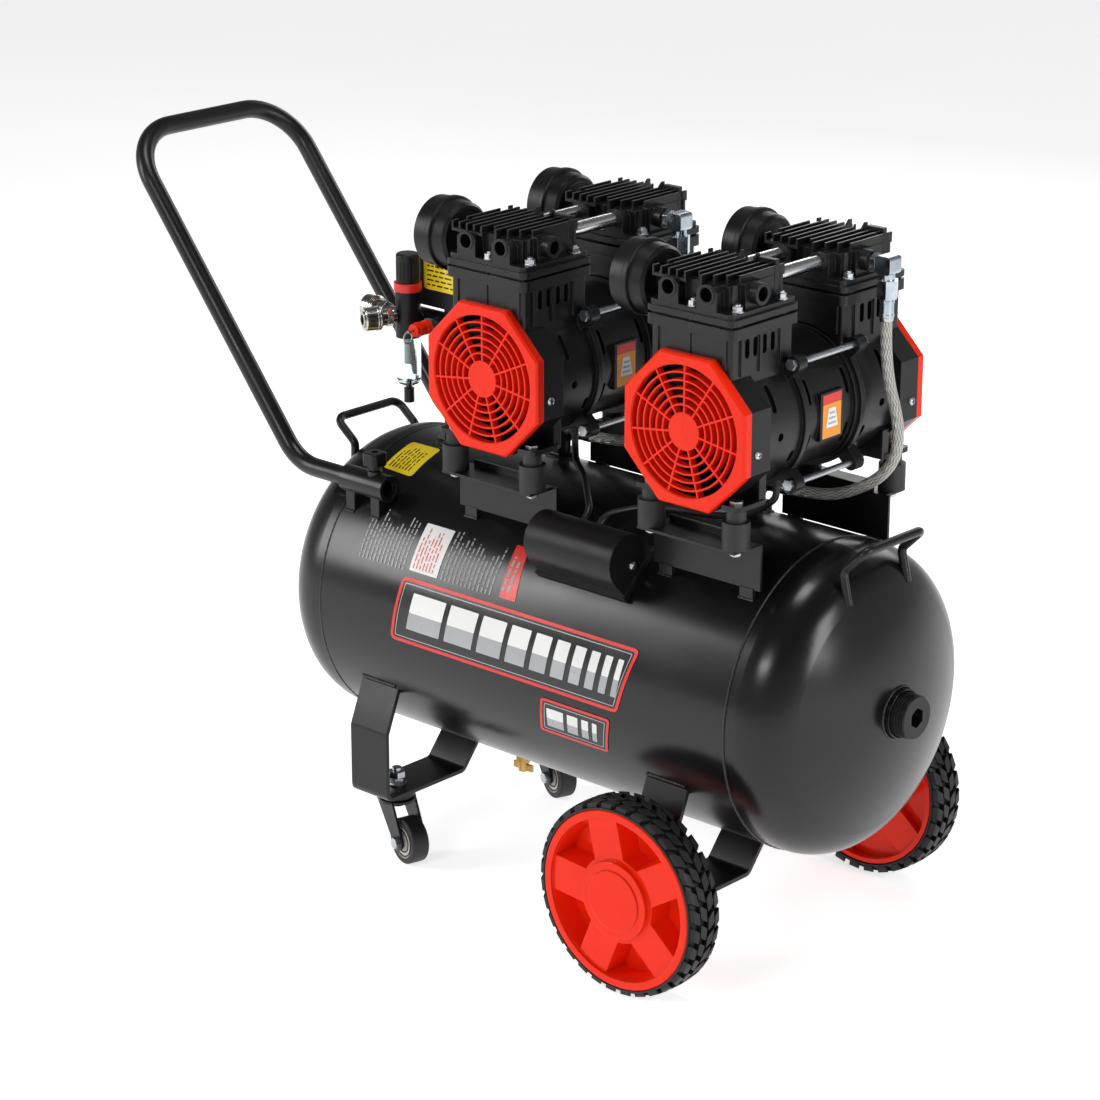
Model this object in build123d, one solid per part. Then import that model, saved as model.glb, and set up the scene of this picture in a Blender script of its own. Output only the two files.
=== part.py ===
from build123d import *
import os
from math import atan2, cos, degrees, hypot, pi, radians, sin, sqrt, tan

# A portable oil-free air compressor: one horizontal tank on two wheels and two
# swivel casters, with two double-ended pumps side by side on top of it.
# Millimetres. +X runs along the tank towards the wheel end, -Y is the labelled
# front side and +Z is up. Everything is modelled about the middle of the tank
# and moved along X at the end, so that the origin is under the bounding box.

# ---- driving dimensions -------------------------------------------------
TANK_R = 158.0            # tank outer radius
TANK_Z = 274.0            # height of the tank axis
TANK_WALL = 3.0
SEAM_X = 272.0            # half length of the rolled barrel
DOME_FLANGE = 12.0        # straight flange of each pressed end
DOME_DEPTH = 78.0         # depth of the dished part
DOME_KNUCKLE = 55.0       # knuckle radius of the dish
BUNG_REACH = 382.0        # outer face of the end plug
PLUG_Z = 278.0            # height of the end plug
PLUG_R = 22.0

PUMP_X = (-57.0, 201.7)   # middle of each pump
PUMP_Z = 557.8            # height of both motor axes
HEAD_Y = 83.0             # distance of each cylinder from the pump's middle
GUARD_AF = 148.0          # octagon across flats
GUARD_Y = 138.0           # outer face of each fan guard
SHROUD_Y = 128.0          # guard to shroud joint
DRUM_Y = 100.0            # shroud to crankcase joint
DRUM_R = 69.0
BAND_Y = 40.0             # crankcase to motor band joint
FOOT_X = 52.0             # rubber feet either side of a pump's middle
FOOT_Y = 121.0
SHELF_Z = 451.0           # top of the pump brackets

WHEEL_X = 188.4
WHEEL_R = 100.0
WHEEL_IN = 175.0          # inboard face of the tyre
WHEEL_OUT = 214.0         # outboard face of the tyre
CASTER_X = -202.0
CASTER_Y = 119.0
CASTER_R = 25.0
CASTER_TRAIL = 25.0
CASTER_YAW = {"front": -15.0, "rear": -20.0}
LEG_BASE_Z = 78.0         # middle of the straps' flat base
STRAP_T = 4.5
STRAP_W = 52.0
CASTER_STRAP_X = -204.0

HANDLE_Y = 115.0
HANDLE_Z = 405.0
HANDLE_R = 10.0
HANDLE_BEND_X = -345.0
HANDLE_TOP = (-600.0, 720.0)
SLEEVE_X = (-272.0, -210.0)

FIT = 0.06                # radial clearance of a running fit
FRAME_SHIFT = -(BUNG_REACH + HANDLE_TOP[0] - HANDLE_R) / 2

SIDES = {"front": -1, "rear": 1}


# ---- small building blocks ----------------------------------------------
def block(x, y, z):
    """A box between two limits on each axis."""
    centre = Pos((x[0] + x[1]) / 2, (y[0] + y[1]) / 2, (z[0] + z[1]) / 2)
    return centre * Box(abs(x[1] - x[0]), abs(y[1] - y[0]), abs(z[1] - z[0]))


def rod_x(x, y, z, r):
    return Pos((x[0] + x[1]) / 2, y, z) * Rot(0, 90, 0) * Cylinder(r, abs(x[1] - x[0]))


def rod_y(x, y, z, r):
    return Pos(x, (y[0] + y[1]) / 2, z) * Rot(90, 0, 0) * Cylinder(r, abs(y[1] - y[0]))


def rod_z(x, y, z, r):
    return Pos(x, y, (z[0] + z[1]) / 2) * Cylinder(r, abs(z[1] - z[0]))


def hex_z(x, y, z, flats):
    nut = extrude(RegularPolygon(flats / 2, 6, major_radius=False), abs(z[1] - z[0]))
    return Pos(x, y, min(z)) * nut


def hex_y(x, y, z, flats):
    nut = extrude(RegularPolygon(flats / 2, 6, major_radius=False), abs(y[1] - y[0]))
    return Pos(x, max(y), z) * Rot(90, 0, 0) * nut


def octagon_y(y, flats):
    """An octagonal prism about the Y axis with flats at top, bottom and sides."""
    face = Rot(0, 0, 22.5) * RegularPolygon(flats / 2, 8, major_radius=False)
    return Pos(0, max(y), 0) * Rot(90, 0, 0) * extrude(face, abs(y[1] - y[0]))


def rounded(shape, axis, radius):
    return fillet(shape.edges().filter_by(axis), radius)


def lathe(points, about):
    """A closed outline in the X, Z plane turned about the X or Z axis."""
    face = Plane.XZ * make_face(Polyline(*points, close=True))
    return revolve(face, about)


def swept(points, radii, r):
    path = FilletPolyline(*points, radius=radii)
    ring = Plane(origin=path @ 0, z_dir=path % 0) * Circle(r)
    return sweep(ring, path)


def bend_radii(points):
    """Arcs as large as the two runs beside each corner allow."""
    radii = []
    for before, corner, after in zip(points, points[1:], points[2:]):
        run_in = Vector(*corner) - Vector(*before)
        run_out = Vector(*after) - Vector(*corner)
        half_turn = radians(run_in.get_angle(run_out)) / 2
        radii.append(0.45 * min(run_in.length, run_out.length) / tan(half_turn))
    return radii


def cord(points, r, label):
    radii = bend_radii(points)
    tube = swept(points, radii, r)
    print(label, "bend radii", [round(v, 1) for v in radii])
    return tube


def mirrored(shape):
    return [shape, mirror(shape, about=Plane.XZ)]


def at_pumps(shapes):
    return [Pos(x, 0, PUMP_Z) * s for x in PUMP_X for s in shapes]


def save(name, shapes):
    solids = [s for shape in shapes for s in shape.solids()]
    moved = [Pos(FRAME_SHIFT, 0, 0) * s for s in solids]
    export_step(moved[0] if len(moved) == 1 else Compound(moved), f"parts/{name}.step")


def tank_envelope():
    return rod_x((-SEAM_X, SEAM_X), 0, TANK_Z, TANK_R)


def tank_height(y):
    return TANK_Z + sqrt(TANK_R ** 2 - y ** 2)


# ---- tank ----------------------------------------------------------------
def dome():
    """The right-hand pressed end: spigot, straight flange, knuckle and crown."""
    start = SEAM_X + DOME_FLANGE
    tip = start + DOME_DEPTH
    r_out = TANK_R - 0.6
    ring_r = r_out - DOME_KNUCKLE
    crown = (ring_r ** 2 + DOME_DEPTH ** 2 - DOME_KNUCKLE ** 2) / (2 * (DOME_DEPTH - DOME_KNUCKLE))
    angle = atan2(ring_r, crown - DOME_DEPTH)

    def arcs(inset):
        knuckle = DOME_KNUCKLE - inset
        mid = (pi / 2 + angle) / 2
        shoulder = (start, ring_r + knuckle)
        bulge = (start + knuckle * cos(mid), ring_r + knuckle * sin(mid))
        join = (start + knuckle * cos(angle), ring_r + knuckle * sin(angle))
        r_crown = crown - inset
        halfway = (tip - crown + r_crown * cos(angle / 2), r_crown * sin(angle / 2))
        return shoulder, bulge, join, halfway, (tip - inset, 0)

    outer = arcs(0)
    inner = arcs(TANK_WALL)
    spigot = SEAM_X - 14
    r_spigot = TANK_R - TANK_WALL - 0.2
    edges = [
        Line((spigot, r_spigot), (SEAM_X + 0.2, r_spigot)),
        Line((SEAM_X + 0.2, r_spigot), (SEAM_X + 0.2, r_out)),
        Line((SEAM_X + 0.2, r_out), outer[0]),
        ThreePointArc(outer[0], outer[1], outer[2]),
        ThreePointArc(outer[2], outer[3], outer[4]),
        Line(outer[4], inner[4]),
        ThreePointArc(inner[4], inner[3], inner[2]),
        ThreePointArc(inner[2], inner[1], inner[0]),
        Line(inner[0], (SEAM_X + 0.2, inner[0][1])),
        Line((SEAM_X + 0.2, inner[0][1]), (spigot, r_spigot - TANK_WALL)),
        Line((spigot, r_spigot - TANK_WALL), (spigot, r_spigot)),
    ]
    half = Plane.XZ * make_face(Curve() + edges)
    return Pos(0, 0, TANK_Z) * revolve(half, Axis.X)


def tank():
    bore = rod_x((-SEAM_X - 1, SEAM_X + 1), 0, TANK_Z, TANK_R - TANK_WALL)
    save("tank_barrel", [tank_envelope() - bore])
    right = dome()
    left = mirror(right, about=Plane.YZ)
    socket = rod_x((SEAM_X + 60, BUNG_REACH), 0, PLUG_Z, 25)
    save("tank_domes", [right - socket, left])

    bung = rod_x((SEAM_X + DOME_FLANGE + 66, 367), 0, PLUG_Z, 25)
    bung -= rod_x((300, 400), 0, PLUG_Z, PLUG_R)
    bungs = [chamfer(bung.edges().sort_by(Axis.X)[-1], 1.5)]
    for x, y in OUTLETS:
        top = tank_height(y)
        collar = hex_z(x, y, (top - 8, top + 7), 30) - rod_z(x, y, (top - 9, top + 8), 9)
        bungs.append(collar - tank_envelope())
    drain = rod_z(DRAIN[0], DRAIN[1], (106, 122), 11) - rod_z(DRAIN[0], DRAIN[1], (100, 130), 6)
    bungs.append(drain - tank_envelope())
    save("tank_bungs", bungs)

    plug = chamfer(rod_x((350, BUNG_REACH), 0, PLUG_Z, PLUG_R).edges(), 1)
    for i in range(3):
        groove_x = 368.5 + 3.4 * i
        groove = rod_x((groove_x, groove_x + 1.3), 0, PLUG_Z, PLUG_R + 1)
        plug -= groove - rod_x((360, BUNG_REACH), 0, PLUG_Z, PLUG_R - 1.2)
    key = extrude(RegularPolygon(9, 6, major_radius=False), 14)
    plug -= Pos(BUNG_REACH - 12, 0, PLUG_Z) * Rot(0, 90, 0) * key
    save("end_plug", [plug])


OUTLETS = ((PUMP_X[0] - 52, 38.0), (PUMP_X[1] - 52, 38.0), (-216.0, -14.0))
DRAIN = (-125.0, -5.0)


# ---- legs, wheels and casters ---------------------------------------------
def strap(x, holes):
    """One flat bar bent into a W, welded to the tank's sides and its underside."""
    half = [(137, 199), (156, 152), (156, LEG_BASE_Z), (42, LEG_BASE_Z), (12, 114)]
    points = half + [(-y, z) for y, z in reversed(half)]
    line = FilletPolyline(*points, radius=8)
    profile = Plane(origin=(x - STRAP_W / 2, 0, 0), x_dir=(0, 1, 0), z_dir=(1, 0, 0))
    bar = profile * extrude(trace(line, STRAP_T), STRAP_W)
    bar -= tank_envelope()
    for hole in holes:
        bar -= hole
    return bar


def legs():
    stem_holes = [rod_z(CASTER_X, s * CASTER_Y, (60, 90), 5.2) for s in (-1, 1)]
    axle_holes = [rod_y(WHEEL_X, (s * 140, s * 170), WHEEL_R, 8.2) for s in (-1, 1)]
    save("caster_leg_strap", [strap(CASTER_STRAP_X, stem_holes)])
    save("wheel_leg_strap", [strap(WHEEL_X, axle_holes)])


def tyre():
    shoulder, crown = WHEEL_R - 3, WHEEL_R
    section = [
        (WHEEL_IN, 88.2), (WHEEL_IN, shoulder - 3), (WHEEL_IN + 4, shoulder),
        (WHEEL_IN + 12, crown), (WHEEL_OUT - 12, crown), (WHEEL_OUT - 4, shoulder),
        (WHEEL_OUT, shoulder - 3), (WHEEL_OUT, 88.2),
    ]
    face = Plane.YZ * make_face(Polyline(*section, close=True))
    return Pos(WHEEL_X, 0, WHEEL_R) * revolve(face, Axis.Y)


def rim():
    """A dished rim with five deep pockets between broad spokes, and its hub cap."""
    face_y = WHEEL_OUT + 1.5
    body = rod_y(0, (WHEEL_IN, WHEEL_OUT), 0, 88) + rod_y(0, (WHEEL_OUT, face_y), 0, 91.5)
    body = chamfer(body.edges().sort_by(Axis.Y)[-1], 1.2)
    body -= rod_y(0, (face_y - 3, face_y + 1), 0, 83) - rod_y(0, (190, 230), 0, 40)
    window = Circle(83) - Circle(44)
    for i in range(5):
        window -= Rot(0, 0, 104 + 72 * i) * Pos(50, 0) * Rectangle(100, 36)
    front = Pos(0, face_y, 0) * Rot(90, 0, 0)
    for pocket in window.faces():
        body -= front * extrude(fillet(pocket.vertices(), 4), 26, taper=9)
    body -= rod_y(0, (WHEEL_IN - 1, WHEEL_IN + 3), 0, 83) - rod_y(0, (100, 300), 0, 26)
    back = Pos(0, WHEEL_IN + 11.5, 0) * Rot(90, 0, 0)
    for pocket in window.faces():
        body -= back * extrude(fillet(pocket.vertices(), 4), 20)
    body += rod_y(0, (face_y, face_y + 1.6), 0, 40)
    body -= rod_y(0, (WHEEL_IN - 1, face_y + 3), 0, 8 + FIT)
    body -= rod_y(0, (WHEEL_OUT - 11, face_y + 3), 0, 17)
    cap = chamfer(rod_y(0, (face_y + 1.6, face_y + 3.2), 0, 31.5).edges().sort_by(Axis.Y)[-1], 0.8)
    place = Pos(WHEEL_X, 0, WHEEL_R)
    return [place * body, place * cap]


def wheels():
    tyre_rear, (rim_rear, cap_rear) = tyre(), rim()
    axle = rod_y(WHEEL_X, (146, WHEEL_OUT - 3), WHEEL_R, 8)
    axle += hex_y(WHEEL_X, (143, 153.5), WHEEL_R, 24)
    axle += rod_y(WHEEL_X, (158.4, WHEEL_IN - 0.5), WHEEL_R, 13)
    nut = hex_y(WHEEL_X, (WHEEL_OUT - 10.5, WHEEL_OUT - 4), WHEEL_R, 22)
    nut -= rod_y(WHEEL_X, (180, 240), WHEEL_R, 8)
    save("wheel_axles", mirrored(axle) + mirrored(nut))
    for side, shapes in (("rear", [tyre_rear]), ("front", [mirror(tyre_rear, about=Plane.XZ)])):
        save(f"tyre_{side}", shapes)
    save("rim_rear", [rim_rear, cap_rear])
    save("rim_front", [mirror(s, about=Plane.XZ) for s in (rim_rear, cap_rear)])


def caster_fork():
    """Crown and two raked arms in the swivel's own frame, trailing along +X."""
    crown = rod_z(0, 0, (63, 66), 20) - rod_z(0, 0, (60, 70), 5 + FIT)
    arms = []
    for s in (-1, 1):
        outline = make_hull(
            (Pos(-2, 0) * Rectangle(32, 2)).edges()
            + (Pos(CASTER_TRAIL, CASTER_R - 65) * Circle(9)).edges()
        )
        arm = extrude(Plane.XZ * outline, 2.5)
        arms.append(Pos(0, s * 14 + 1.25, 65) * arm)
    bridge = block((-16, 8), (-15.25, 15.25), (63, 66)) - rod_z(0, 0, (60, 70), 5 + FIT)
    fork = crown + bridge + arms[0] + arms[1]
    fork -= rod_y(CASTER_TRAIL, (-20, 20), CASTER_R, 3.5)
    axle = rod_y(CASTER_TRAIL, (-17.5, 17.5), CASTER_R, 3.5)
    axle += hex_y(CASTER_TRAIL, (-20, -15.3), CASTER_R, 11)
    axle += hex_y(CASTER_TRAIL, (15.3, 19), CASTER_R, 11)
    return [fork, axle]


def caster_wheel():
    hub = rod_y(CASTER_TRAIL, (-10.5, 10.5), CASTER_R, 8)
    core = rod_y(CASTER_TRAIL, (-9, 9), CASTER_R, 18.5) + hub
    tread = rod_y(CASTER_TRAIL, (-10, 10), CASTER_R, CASTER_R)
    tread = fillet(tread.edges().filter_by(GeomType.CIRCLE), 2.5)
    tread -= rod_y(CASTER_TRAIL, (-12, 12), CASTER_R, 18.6)
    core -= rod_y(CASTER_TRAIL, (-12, 12), CASTER_R, 3.5 + FIT)
    return [tread, core]


def casters():
    base = LEG_BASE_Z + STRAP_T / 2
    stems = []
    for side, s in SIDES.items():
        place = Pos(CASTER_X, s * CASTER_Y, 0) * Rot(0, 0, CASTER_YAW[side])
        save(f"caster_fork_{side}", [place * p for p in caster_fork()])
        save(f"caster_wheel_{side}", [place * p for p in caster_wheel()])
        stem = rod_z(0, 0, (57, base + 19), 5) + rod_z(0, 0, (57, 62.6), 8)
        race = rod_z(0, 0, (66.4, 70), 17) + rod_z(0, 0, (70, base - STRAP_T), 19.5)
        nuts = hex_z(0, 0, (base + 1.6, base + 8), 16) + Rot(0, 0, 20) * hex_z(0, 0, (base + 8.3, base + 15), 16)
        washer = rod_z(0, 0, (base, base + 1.6), 10)
        spot = Pos(CASTER_X, s * CASTER_Y, 0)
        stems.append(spot * (stem + race + nuts + washer))
    save("caster_stems", stems)


# ---- handles --------------------------------------------------------------
def carry_handle(foot, knee, bar):
    """A round bar bent up off a dome, out, across and back."""
    half = 46.0
    points = [(p[0], -half, p[1]) for p in (foot, knee, bar)]
    points += [(p[0], half, p[1]) for p in (bar, knee, foot)]
    return swept(points, [10, 11, 11, 10], 4.5)


def handles():
    domes = dome()
    void = rod_x((SEAM_X - 20, SEAM_X + 70), 0, TANK_Z, 100)
    right = carry_handle((331, 392), (323, 424), (348, 449)) - domes
    right_bar = max(right.solids(), key=lambda s: s.volume)
    left = carry_handle((-331, 392), (-330, 414), (-358, 436)) - mirror(domes, about=Plane.YZ)
    left_bar = max(left.solids(), key=lambda s: s.volume)
    save("carry_handles", [right_bar - void, left_bar - mirror(void, about=Plane.YZ)])

    start = SLEEVE_X[1] - 4
    arm = [(start, HANDLE_Z), (HANDLE_BEND_X, HANDLE_Z), HANDLE_TOP]
    points = [(x, -HANDLE_Y, z) for x, z in arm] + [(x, HANDLE_Y, z) for x, z in reversed(arm)]
    radii = [55, 60, 60, 55]
    save("push_handle", [swept(points, radii, HANDLE_R) - swept(points, radii, HANDLE_R - 1.6)])

    sleeves = []
    for s in (-1, 1):
        y = s * HANDLE_Y
        sleeve = rod_x(SLEEVE_X, y, HANDLE_Z, 14)
        for x in (SLEEVE_X[0] + 12, SLEEVE_X[1] - 14):
            sleeve += block((x - 6, x + 6), (y - 8, y + 8), (370, HANDLE_Z - 8)) - tank_envelope()
        sleeve += rod_z(KNOB_X, y, (HANDLE_Z + 8, HANDLE_Z + 16), 8)
        sleeve -= rod_x((-300, -180), y, HANDLE_Z, HANDLE_R + FIT)
        sleeve -= rod_z(KNOB_X, y, (HANDLE_Z, HANDLE_Z + 20), 4 + FIT)
        sleeves.append(sleeve)
    save("handle_sleeves", sleeves)

    for side, s in SIDES.items():
        spot = Pos(KNOB_X, s * HANDLE_Y, HANDLE_Z)
        grip = rounded(block((-10, 10), (-10, 10), (22, 36)), Axis.Z, 5)
        grip = fillet(grip.edges().group_by(Axis.Z)[-1], 2)
        knob = grip - rod_z(0, 0, (31, 40), 4)
        knob += rod_z(0, 0, (HANDLE_R + 0.5, 24), 4) + hex_z(0, 0, (17, 20.5), 12)
        save(f"lock_knob_{side}", [spot * knob])


KNOB_X = -231.0


# ---- pump brackets and feet ------------------------------------------------
def bracket(x):
    """A folded sheet: shelf outwards, web down to the tank, lip between the feet."""
    web = block((x - 66, x + 66), (-101, -98), (405, SHELF_Z))
    lip = block((x - 46, x + 46), (-101, -98), (SHELF_Z - 1, SHELF_Z + 6))
    shelf = block((x - 60, x + 60), (-133, -98), (SHELF_Z - 3, SHELF_Z))
    tabs = [block((x + d - 8, x + d + 8), (-102, -97), (390, 406)) for d in (-50, 50)]
    sheet = web + lip + shelf + tabs[0] + tabs[1] - tank_envelope()
    for d in (-FOOT_X, FOOT_X):
        sheet -= rod_z(x + d, -FOOT_Y, (440, 460), 4.2)
    return sheet


def rubber_foot():
    low = SHELF_Z - PUMP_Z
    foot = rod_z(0, 0, (low, low + 27), 13.5) + rod_z(0, 0, (low + 27, FOOT_LUG_Z), 9.5)
    stud = rod_z(0, 0, (low - 8, FOOT_LUG_Z + 8), 4)
    nut = hex_z(0, 0, (FOOT_LUG_Z + 5, FOOT_LUG_Z + 8), 12)
    end_nut = hex_z(0, 0, (low - 7, low - 3), 10)
    return foot + stud + nut + end_nut


FOOT_LUG_Z = -68.0


def mounting():
    sheets = [s for x in PUMP_X for s in mirrored(bracket(x))]
    save("pump_brackets", sheets)
    feet = []
    for dx in (-FOOT_X, FOOT_X):
        for y in (-FOOT_Y, FOOT_Y):
            feet.append(Pos(dx, y, 0) * rubber_foot())
    save("rubber_feet", at_pumps(feet))


# ---- pump castings (front end; the rear end mirrors it) ---------------------
BLOCK_X = 48.8
BLOCK_Y = (-128.0, -38.0)
FLANGE_X = 53.4
FLANGE_Y = (-133.0, -33.0)
DECK_Z = 105.5            # top of the cylinder flange above the motor axis
PLATE_T = 2.7             # valve plate thickness
BORE_Y = -80.0
LUG = (61.0, 59.0)        # tie bolt offsets from the motor axis


def crankcase():
    body = rod_y(0, (-DRUM_Y, -BAND_Y), 0, DRUM_R) + rod_y(0, (-46, -BAND_Y), 0, 73)
    barrel = rounded(block((-BLOCK_X, BLOCK_X), BLOCK_Y, (20, 96)), Axis.Z, 3)
    flange = rounded(block((-FLANGE_X, FLANGE_X), FLANGE_Y, (95, DECK_Z)), Axis.Z, 7)
    upper = barrel - octagon_y((-140, -DRUM_Y), GUARD_AF)
    for x in (-41, 41):
        for y in (BLOCK_Y[0] - 1.5, BLOCK_Y[1] - 1.5):
            upper += block((x - 2, x + 2), (y, y + 3), (66, 96))
    for y in (-114, -86.8, -57):
        upper += block((BLOCK_X - 1, BLOCK_X + 1.8), (y - 2, y + 2), (58, 96))
        upper += block((-BLOCK_X - 1.8, -BLOCK_X + 1), (y - 2, y + 2), (58, 96))
    body += upper + flange
    body -= rod_y(0, (-BAND_Y, -20), 0, 70.5)
    body -= block((-1.2, 1.2), (-140, BLOCK_Y[0] + 1.2), (70, 94))
    for y in (-105.5, -93.5, -80, -68):
        for s in (-1, 1):
            x = s * BLOCK_X
            slot = rounded(block((x - 7, x + 7), (y - 3.2, y + 3.2), (73.5, 92)), Axis.X, 3.1)
            body -= slot
    for dx in (-LUG[0], LUG[0]):
        for dz in (-LUG[1], LUG[1]):
            tilt = degrees(atan2(dz, dx))
            reach = hypot(*LUG)
            ear = block((60, reach), (-52, -BAND_Y), (-8, 8)) + rod_y(reach, (-52, -BAND_Y), 0, 8)
            body += Rot(0, -tilt, 0) * (ear - rod_y(reach, (-60, -30), 0, 3.4))
    for dx in (-FOOT_X, FOOT_X):
        s = 1 if dx > 0 else -1
        pad = block((dx - 12, dx + 12), (-133, -92), (FOOT_LUG_Z, FOOT_LUG_Z + 5))
        pad = rounded(pad, Axis.Z, 5) - octagon_y((-140, -DRUM_Y), GUARD_AF + 0.6)
        web = block((s * 34, s * 62), (-99.9, -90), (FOOT_LUG_Z, -38))
        body += pad + web
        body -= rod_z(dx, -FOOT_Y, (-80, -50), 4.2)
    body -= rod_y(0, (-DRUM_Y - 1, -46), 0, 62.5)
    body -= rod_z(0, BORE_Y, (0, DECK_Z + 5), 30.2)
    body -= rod_y(0, (-60, -30), 0, 8 + FIT)
    for angle in (28, 152):
        slot = rounded(block((56, 80), (-87, -81), (-14, 14)), Axis.X, 2.9)
        body -= Rot(0, -angle, 0) * slot
    for s in (-1, 1):
        body -= Rot(0, -6 * s, 0) * rod_x((s * 56, s * 80), -78, -12, 4)
        window = rounded(block((s * 56, s * 80), (-58, -51), (-30, -17)), Axis.X, 3)
        body -= Rot(0, 6 * s, 0) * window
    return body


def shroud():
    """Black octagonal housing around the fan, behind the guard."""
    shell = octagon_y((-SHROUD_Y, -DRUM_Y), GUARD_AF) - octagon_y((-SHROUD_Y - 1, -DRUM_Y - 3), GUARD_AF - 6)
    return shell - rod_y(0, (-DRUM_Y - 5, -DRUM_Y + 5), 0, 62.5)


def guard():
    """Octagonal fan guard with radial spokes and concentric rings."""
    depth = GUARD_Y - SHROUD_Y
    shell = octagon_y((-GUARD_Y, -SHROUD_Y), GUARD_AF)
    shell = chamfer(shell.faces().sort_by(Axis.Y)[0].edges(), 2)
    shell -= octagon_y((-GUARD_Y + 3, -SHROUD_Y + 1), GUARD_AF - 6)
    shell -= rod_y(0, (-GUARD_Y - 1, -SHROUD_Y), 0, GRILLE_R)
    grille = Circle(18.5)
    for i in range(5):
        r = 26 + 7.8 * i
        grille += Circle(r + 0.9) - Circle(r - 0.9)
    for i in range(11):
        spoke = Pos((18 + GRILLE_R) / 2, 0) * Rectangle(GRILLE_R - 17, 2)
        grille += Rot(0, 0, 90 + 360 / 11 * i) * spoke
    grille += Circle(GRILLE_R + 1) - Circle(GRILLE_R - 0.8)
    panel = Pos(0, -SHROUD_Y - 1, 0) * Rot(90, 0, 0) * extrude(grille, depth - 1.8)
    return shell + panel


GRILLE_R = 65.0


def cylinder_head():
    """Stepped base plate, finned top, port bosses and the outlet boss on the right."""
    base = DECK_Z + PLATE_T
    top = base + HEAD_STEP
    head = rounded(block((-FLANGE_X, FLANGE_X), FLANGE_Y, (base, base + 6)), Axis.Z, 7)
    step_x, step_y = (-FLANGE_X + 3, FLANGE_X - 3), (FLANGE_Y[0] + 2, FLANGE_Y[1] - 2)
    head += rounded(block(step_x, step_y, (base + 5, top)), Axis.Z, 6)
    head += block((-40, 40), (-120, -44), (top - 1, base + 34))
    head += block((FIN_X - 1.1, -8), (-127, -41), (base + 32, base + 35))
    for dx in PORT_X:
        for s, y in ((-1, (-131, -112)), (1, (-54, -38))):
            boss = block((dx - 12, dx + 12), y, (top - 1, PORT_Z + 8))
            head += chamfer(boss.edges().filter_by(Axis.Y).group_by(Axis.Z)[-1], 5)
            end = y[0] if s < 0 else y[1]
            head += rod_y(dx, (end - 1, end + 1), PORT_Z, 9.5)
    head += block((30, 46), (SIDE_PORT_Y - 12, SIDE_PORT_Y + 12), (top - 1, PORT_Z + 10))
    head += rod_x((44, SIDE_PORT_X), SIDE_PORT_Y, PORT_Z, 10.5)
    head += rod_x((-54, -35), -HEAD_Y, FILTER_Z, 10)
    for i in range(10):
        x = FIN_X + FIN_PITCH * i
        front = -127 + 7 * max(0, i - 6)
        head += block((x - 1.1, x + 1.1), (front, -41), (base + 32, FIN_TOP))
    for i in range(4, 7):
        x = FIN_X + FIN_PITCH * i
        tip = block((x - 1.1, x + 1.1), (-50, -42), (base + 33, FIN_TOP + 5))
        head += chamfer(tip.edges().filter_by(Axis.X).group_by(Axis.Z)[-1].sort_by(Axis.Y)[0], 4.5)
    head += block((13, 33), (-47, -41), (base + 33, FIN_TOP + 3))
    for dx in PORT_X:
        head -= rod_y(dx, (-134, -116), PORT_Z, 7 + FIT)
        head -= rod_y(dx, (-50, -36), PORT_Z, 7 + FIT)
    head -= rod_x((46, 63), SIDE_PORT_Y, PORT_Z, 7)
    head -= rod_x((-55, -38), -HEAD_Y, FILTER_Z, 6)
    for x, y in HEAD_BOLTS:
        head -= rod_z(x, y, (base - 1, top + 1), 3)
        head -= rod_z(x, y, (top, base + 60), 7.2)
    return head


PORT_X = (-26.0, 20.0)
PORT_Z = 134.0
SIDE_PORT_X = 57.0
SIDE_PORT_Y = -94.0
FILTER_Z = 123.0
FIN_X = -48.0
FIN_PITCH = 9.6
FIN_TOP = 150.2
HEAD_STEP = 11.0          # height of the head's bolting face above its base
HEAD_BOLTS = ((-45, -112), (-45, -52), (45, -116), (45, -52), (0, -125), (0, -41))


def intake_filter():
    """Canister with a domed cap, on the head's inlet spigot."""
    canister = [
        (-114, 0), (-114, 30), (-110, 35.5), (-95, 36), (-93.5, 37.5), (-88.5, 37.5), (-87.5, 36),
        (-87.5, 34.5), (-74, 33), (-70.5, 30), (-70.5, 26), (-72, 24.5), (-72, 12), (-56, 12), (-56, 0),
    ]
    body = Pos(0, -HEAD_Y, FILTER_Z) * lathe(canister, Axis.X)
    return body - rod_x((-60, -50), -HEAD_Y, FILTER_Z, 10)


def liner():
    return rod_z(0, BORE_Y, (75, DECK_Z), 30) - rod_z(0, BORE_Y, (70, 110), 27)


def piston():
    """Wobble piston and rod. The big end ring clears the crank's whole sweep."""
    crown = rod_z(0, BORE_Y, (82, 92), 26.8)
    stem = block((-5, 5), (BORE_Y - 4, BORE_Y + 4), (22, 83))
    ring = rod_y(0, (BORE_Y - 5, BORE_Y + 5), 0, 25) - rod_y(0, (BORE_Y - 6, BORE_Y + 6), 0, 20.2)
    return crown + stem + ring


def stator():
    """Motor band with its lamination pack, vent slots, label pad and lead gland."""
    band = rod_y(0, (-BAND_Y + 0.1, BAND_Y - 0.1), 0, 66) - rod_y(0, (-50, 50), 0, 36)
    for y in (-BAND_Y + 0.1, BAND_Y - 5.1):
        band += rod_y(0, (y, y + 5), 0, 70) - rod_y(0, (-50, 50), 0, 60)
    for s in (-1, 1):
        band += block((s * 58, s * 68), (-17, 17), (-24, 23))
        for y in (-29, 29):
            for angle in (24, -24):
                slot = rounded(block((s * 60, s * 80), (y - 2.6, y + 2.6), (-13, 13)), Axis.X, 2.5)
                band -= Rot(0, angle, 0) * slot
    return band + rod_z(LEAD_DX, LEAD_Y, (LEAD_LOW, -50), 5)


LEAD_DX = 27.0
LEAD_Y = -30.0
LEAD_LOW = -72.0


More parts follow.
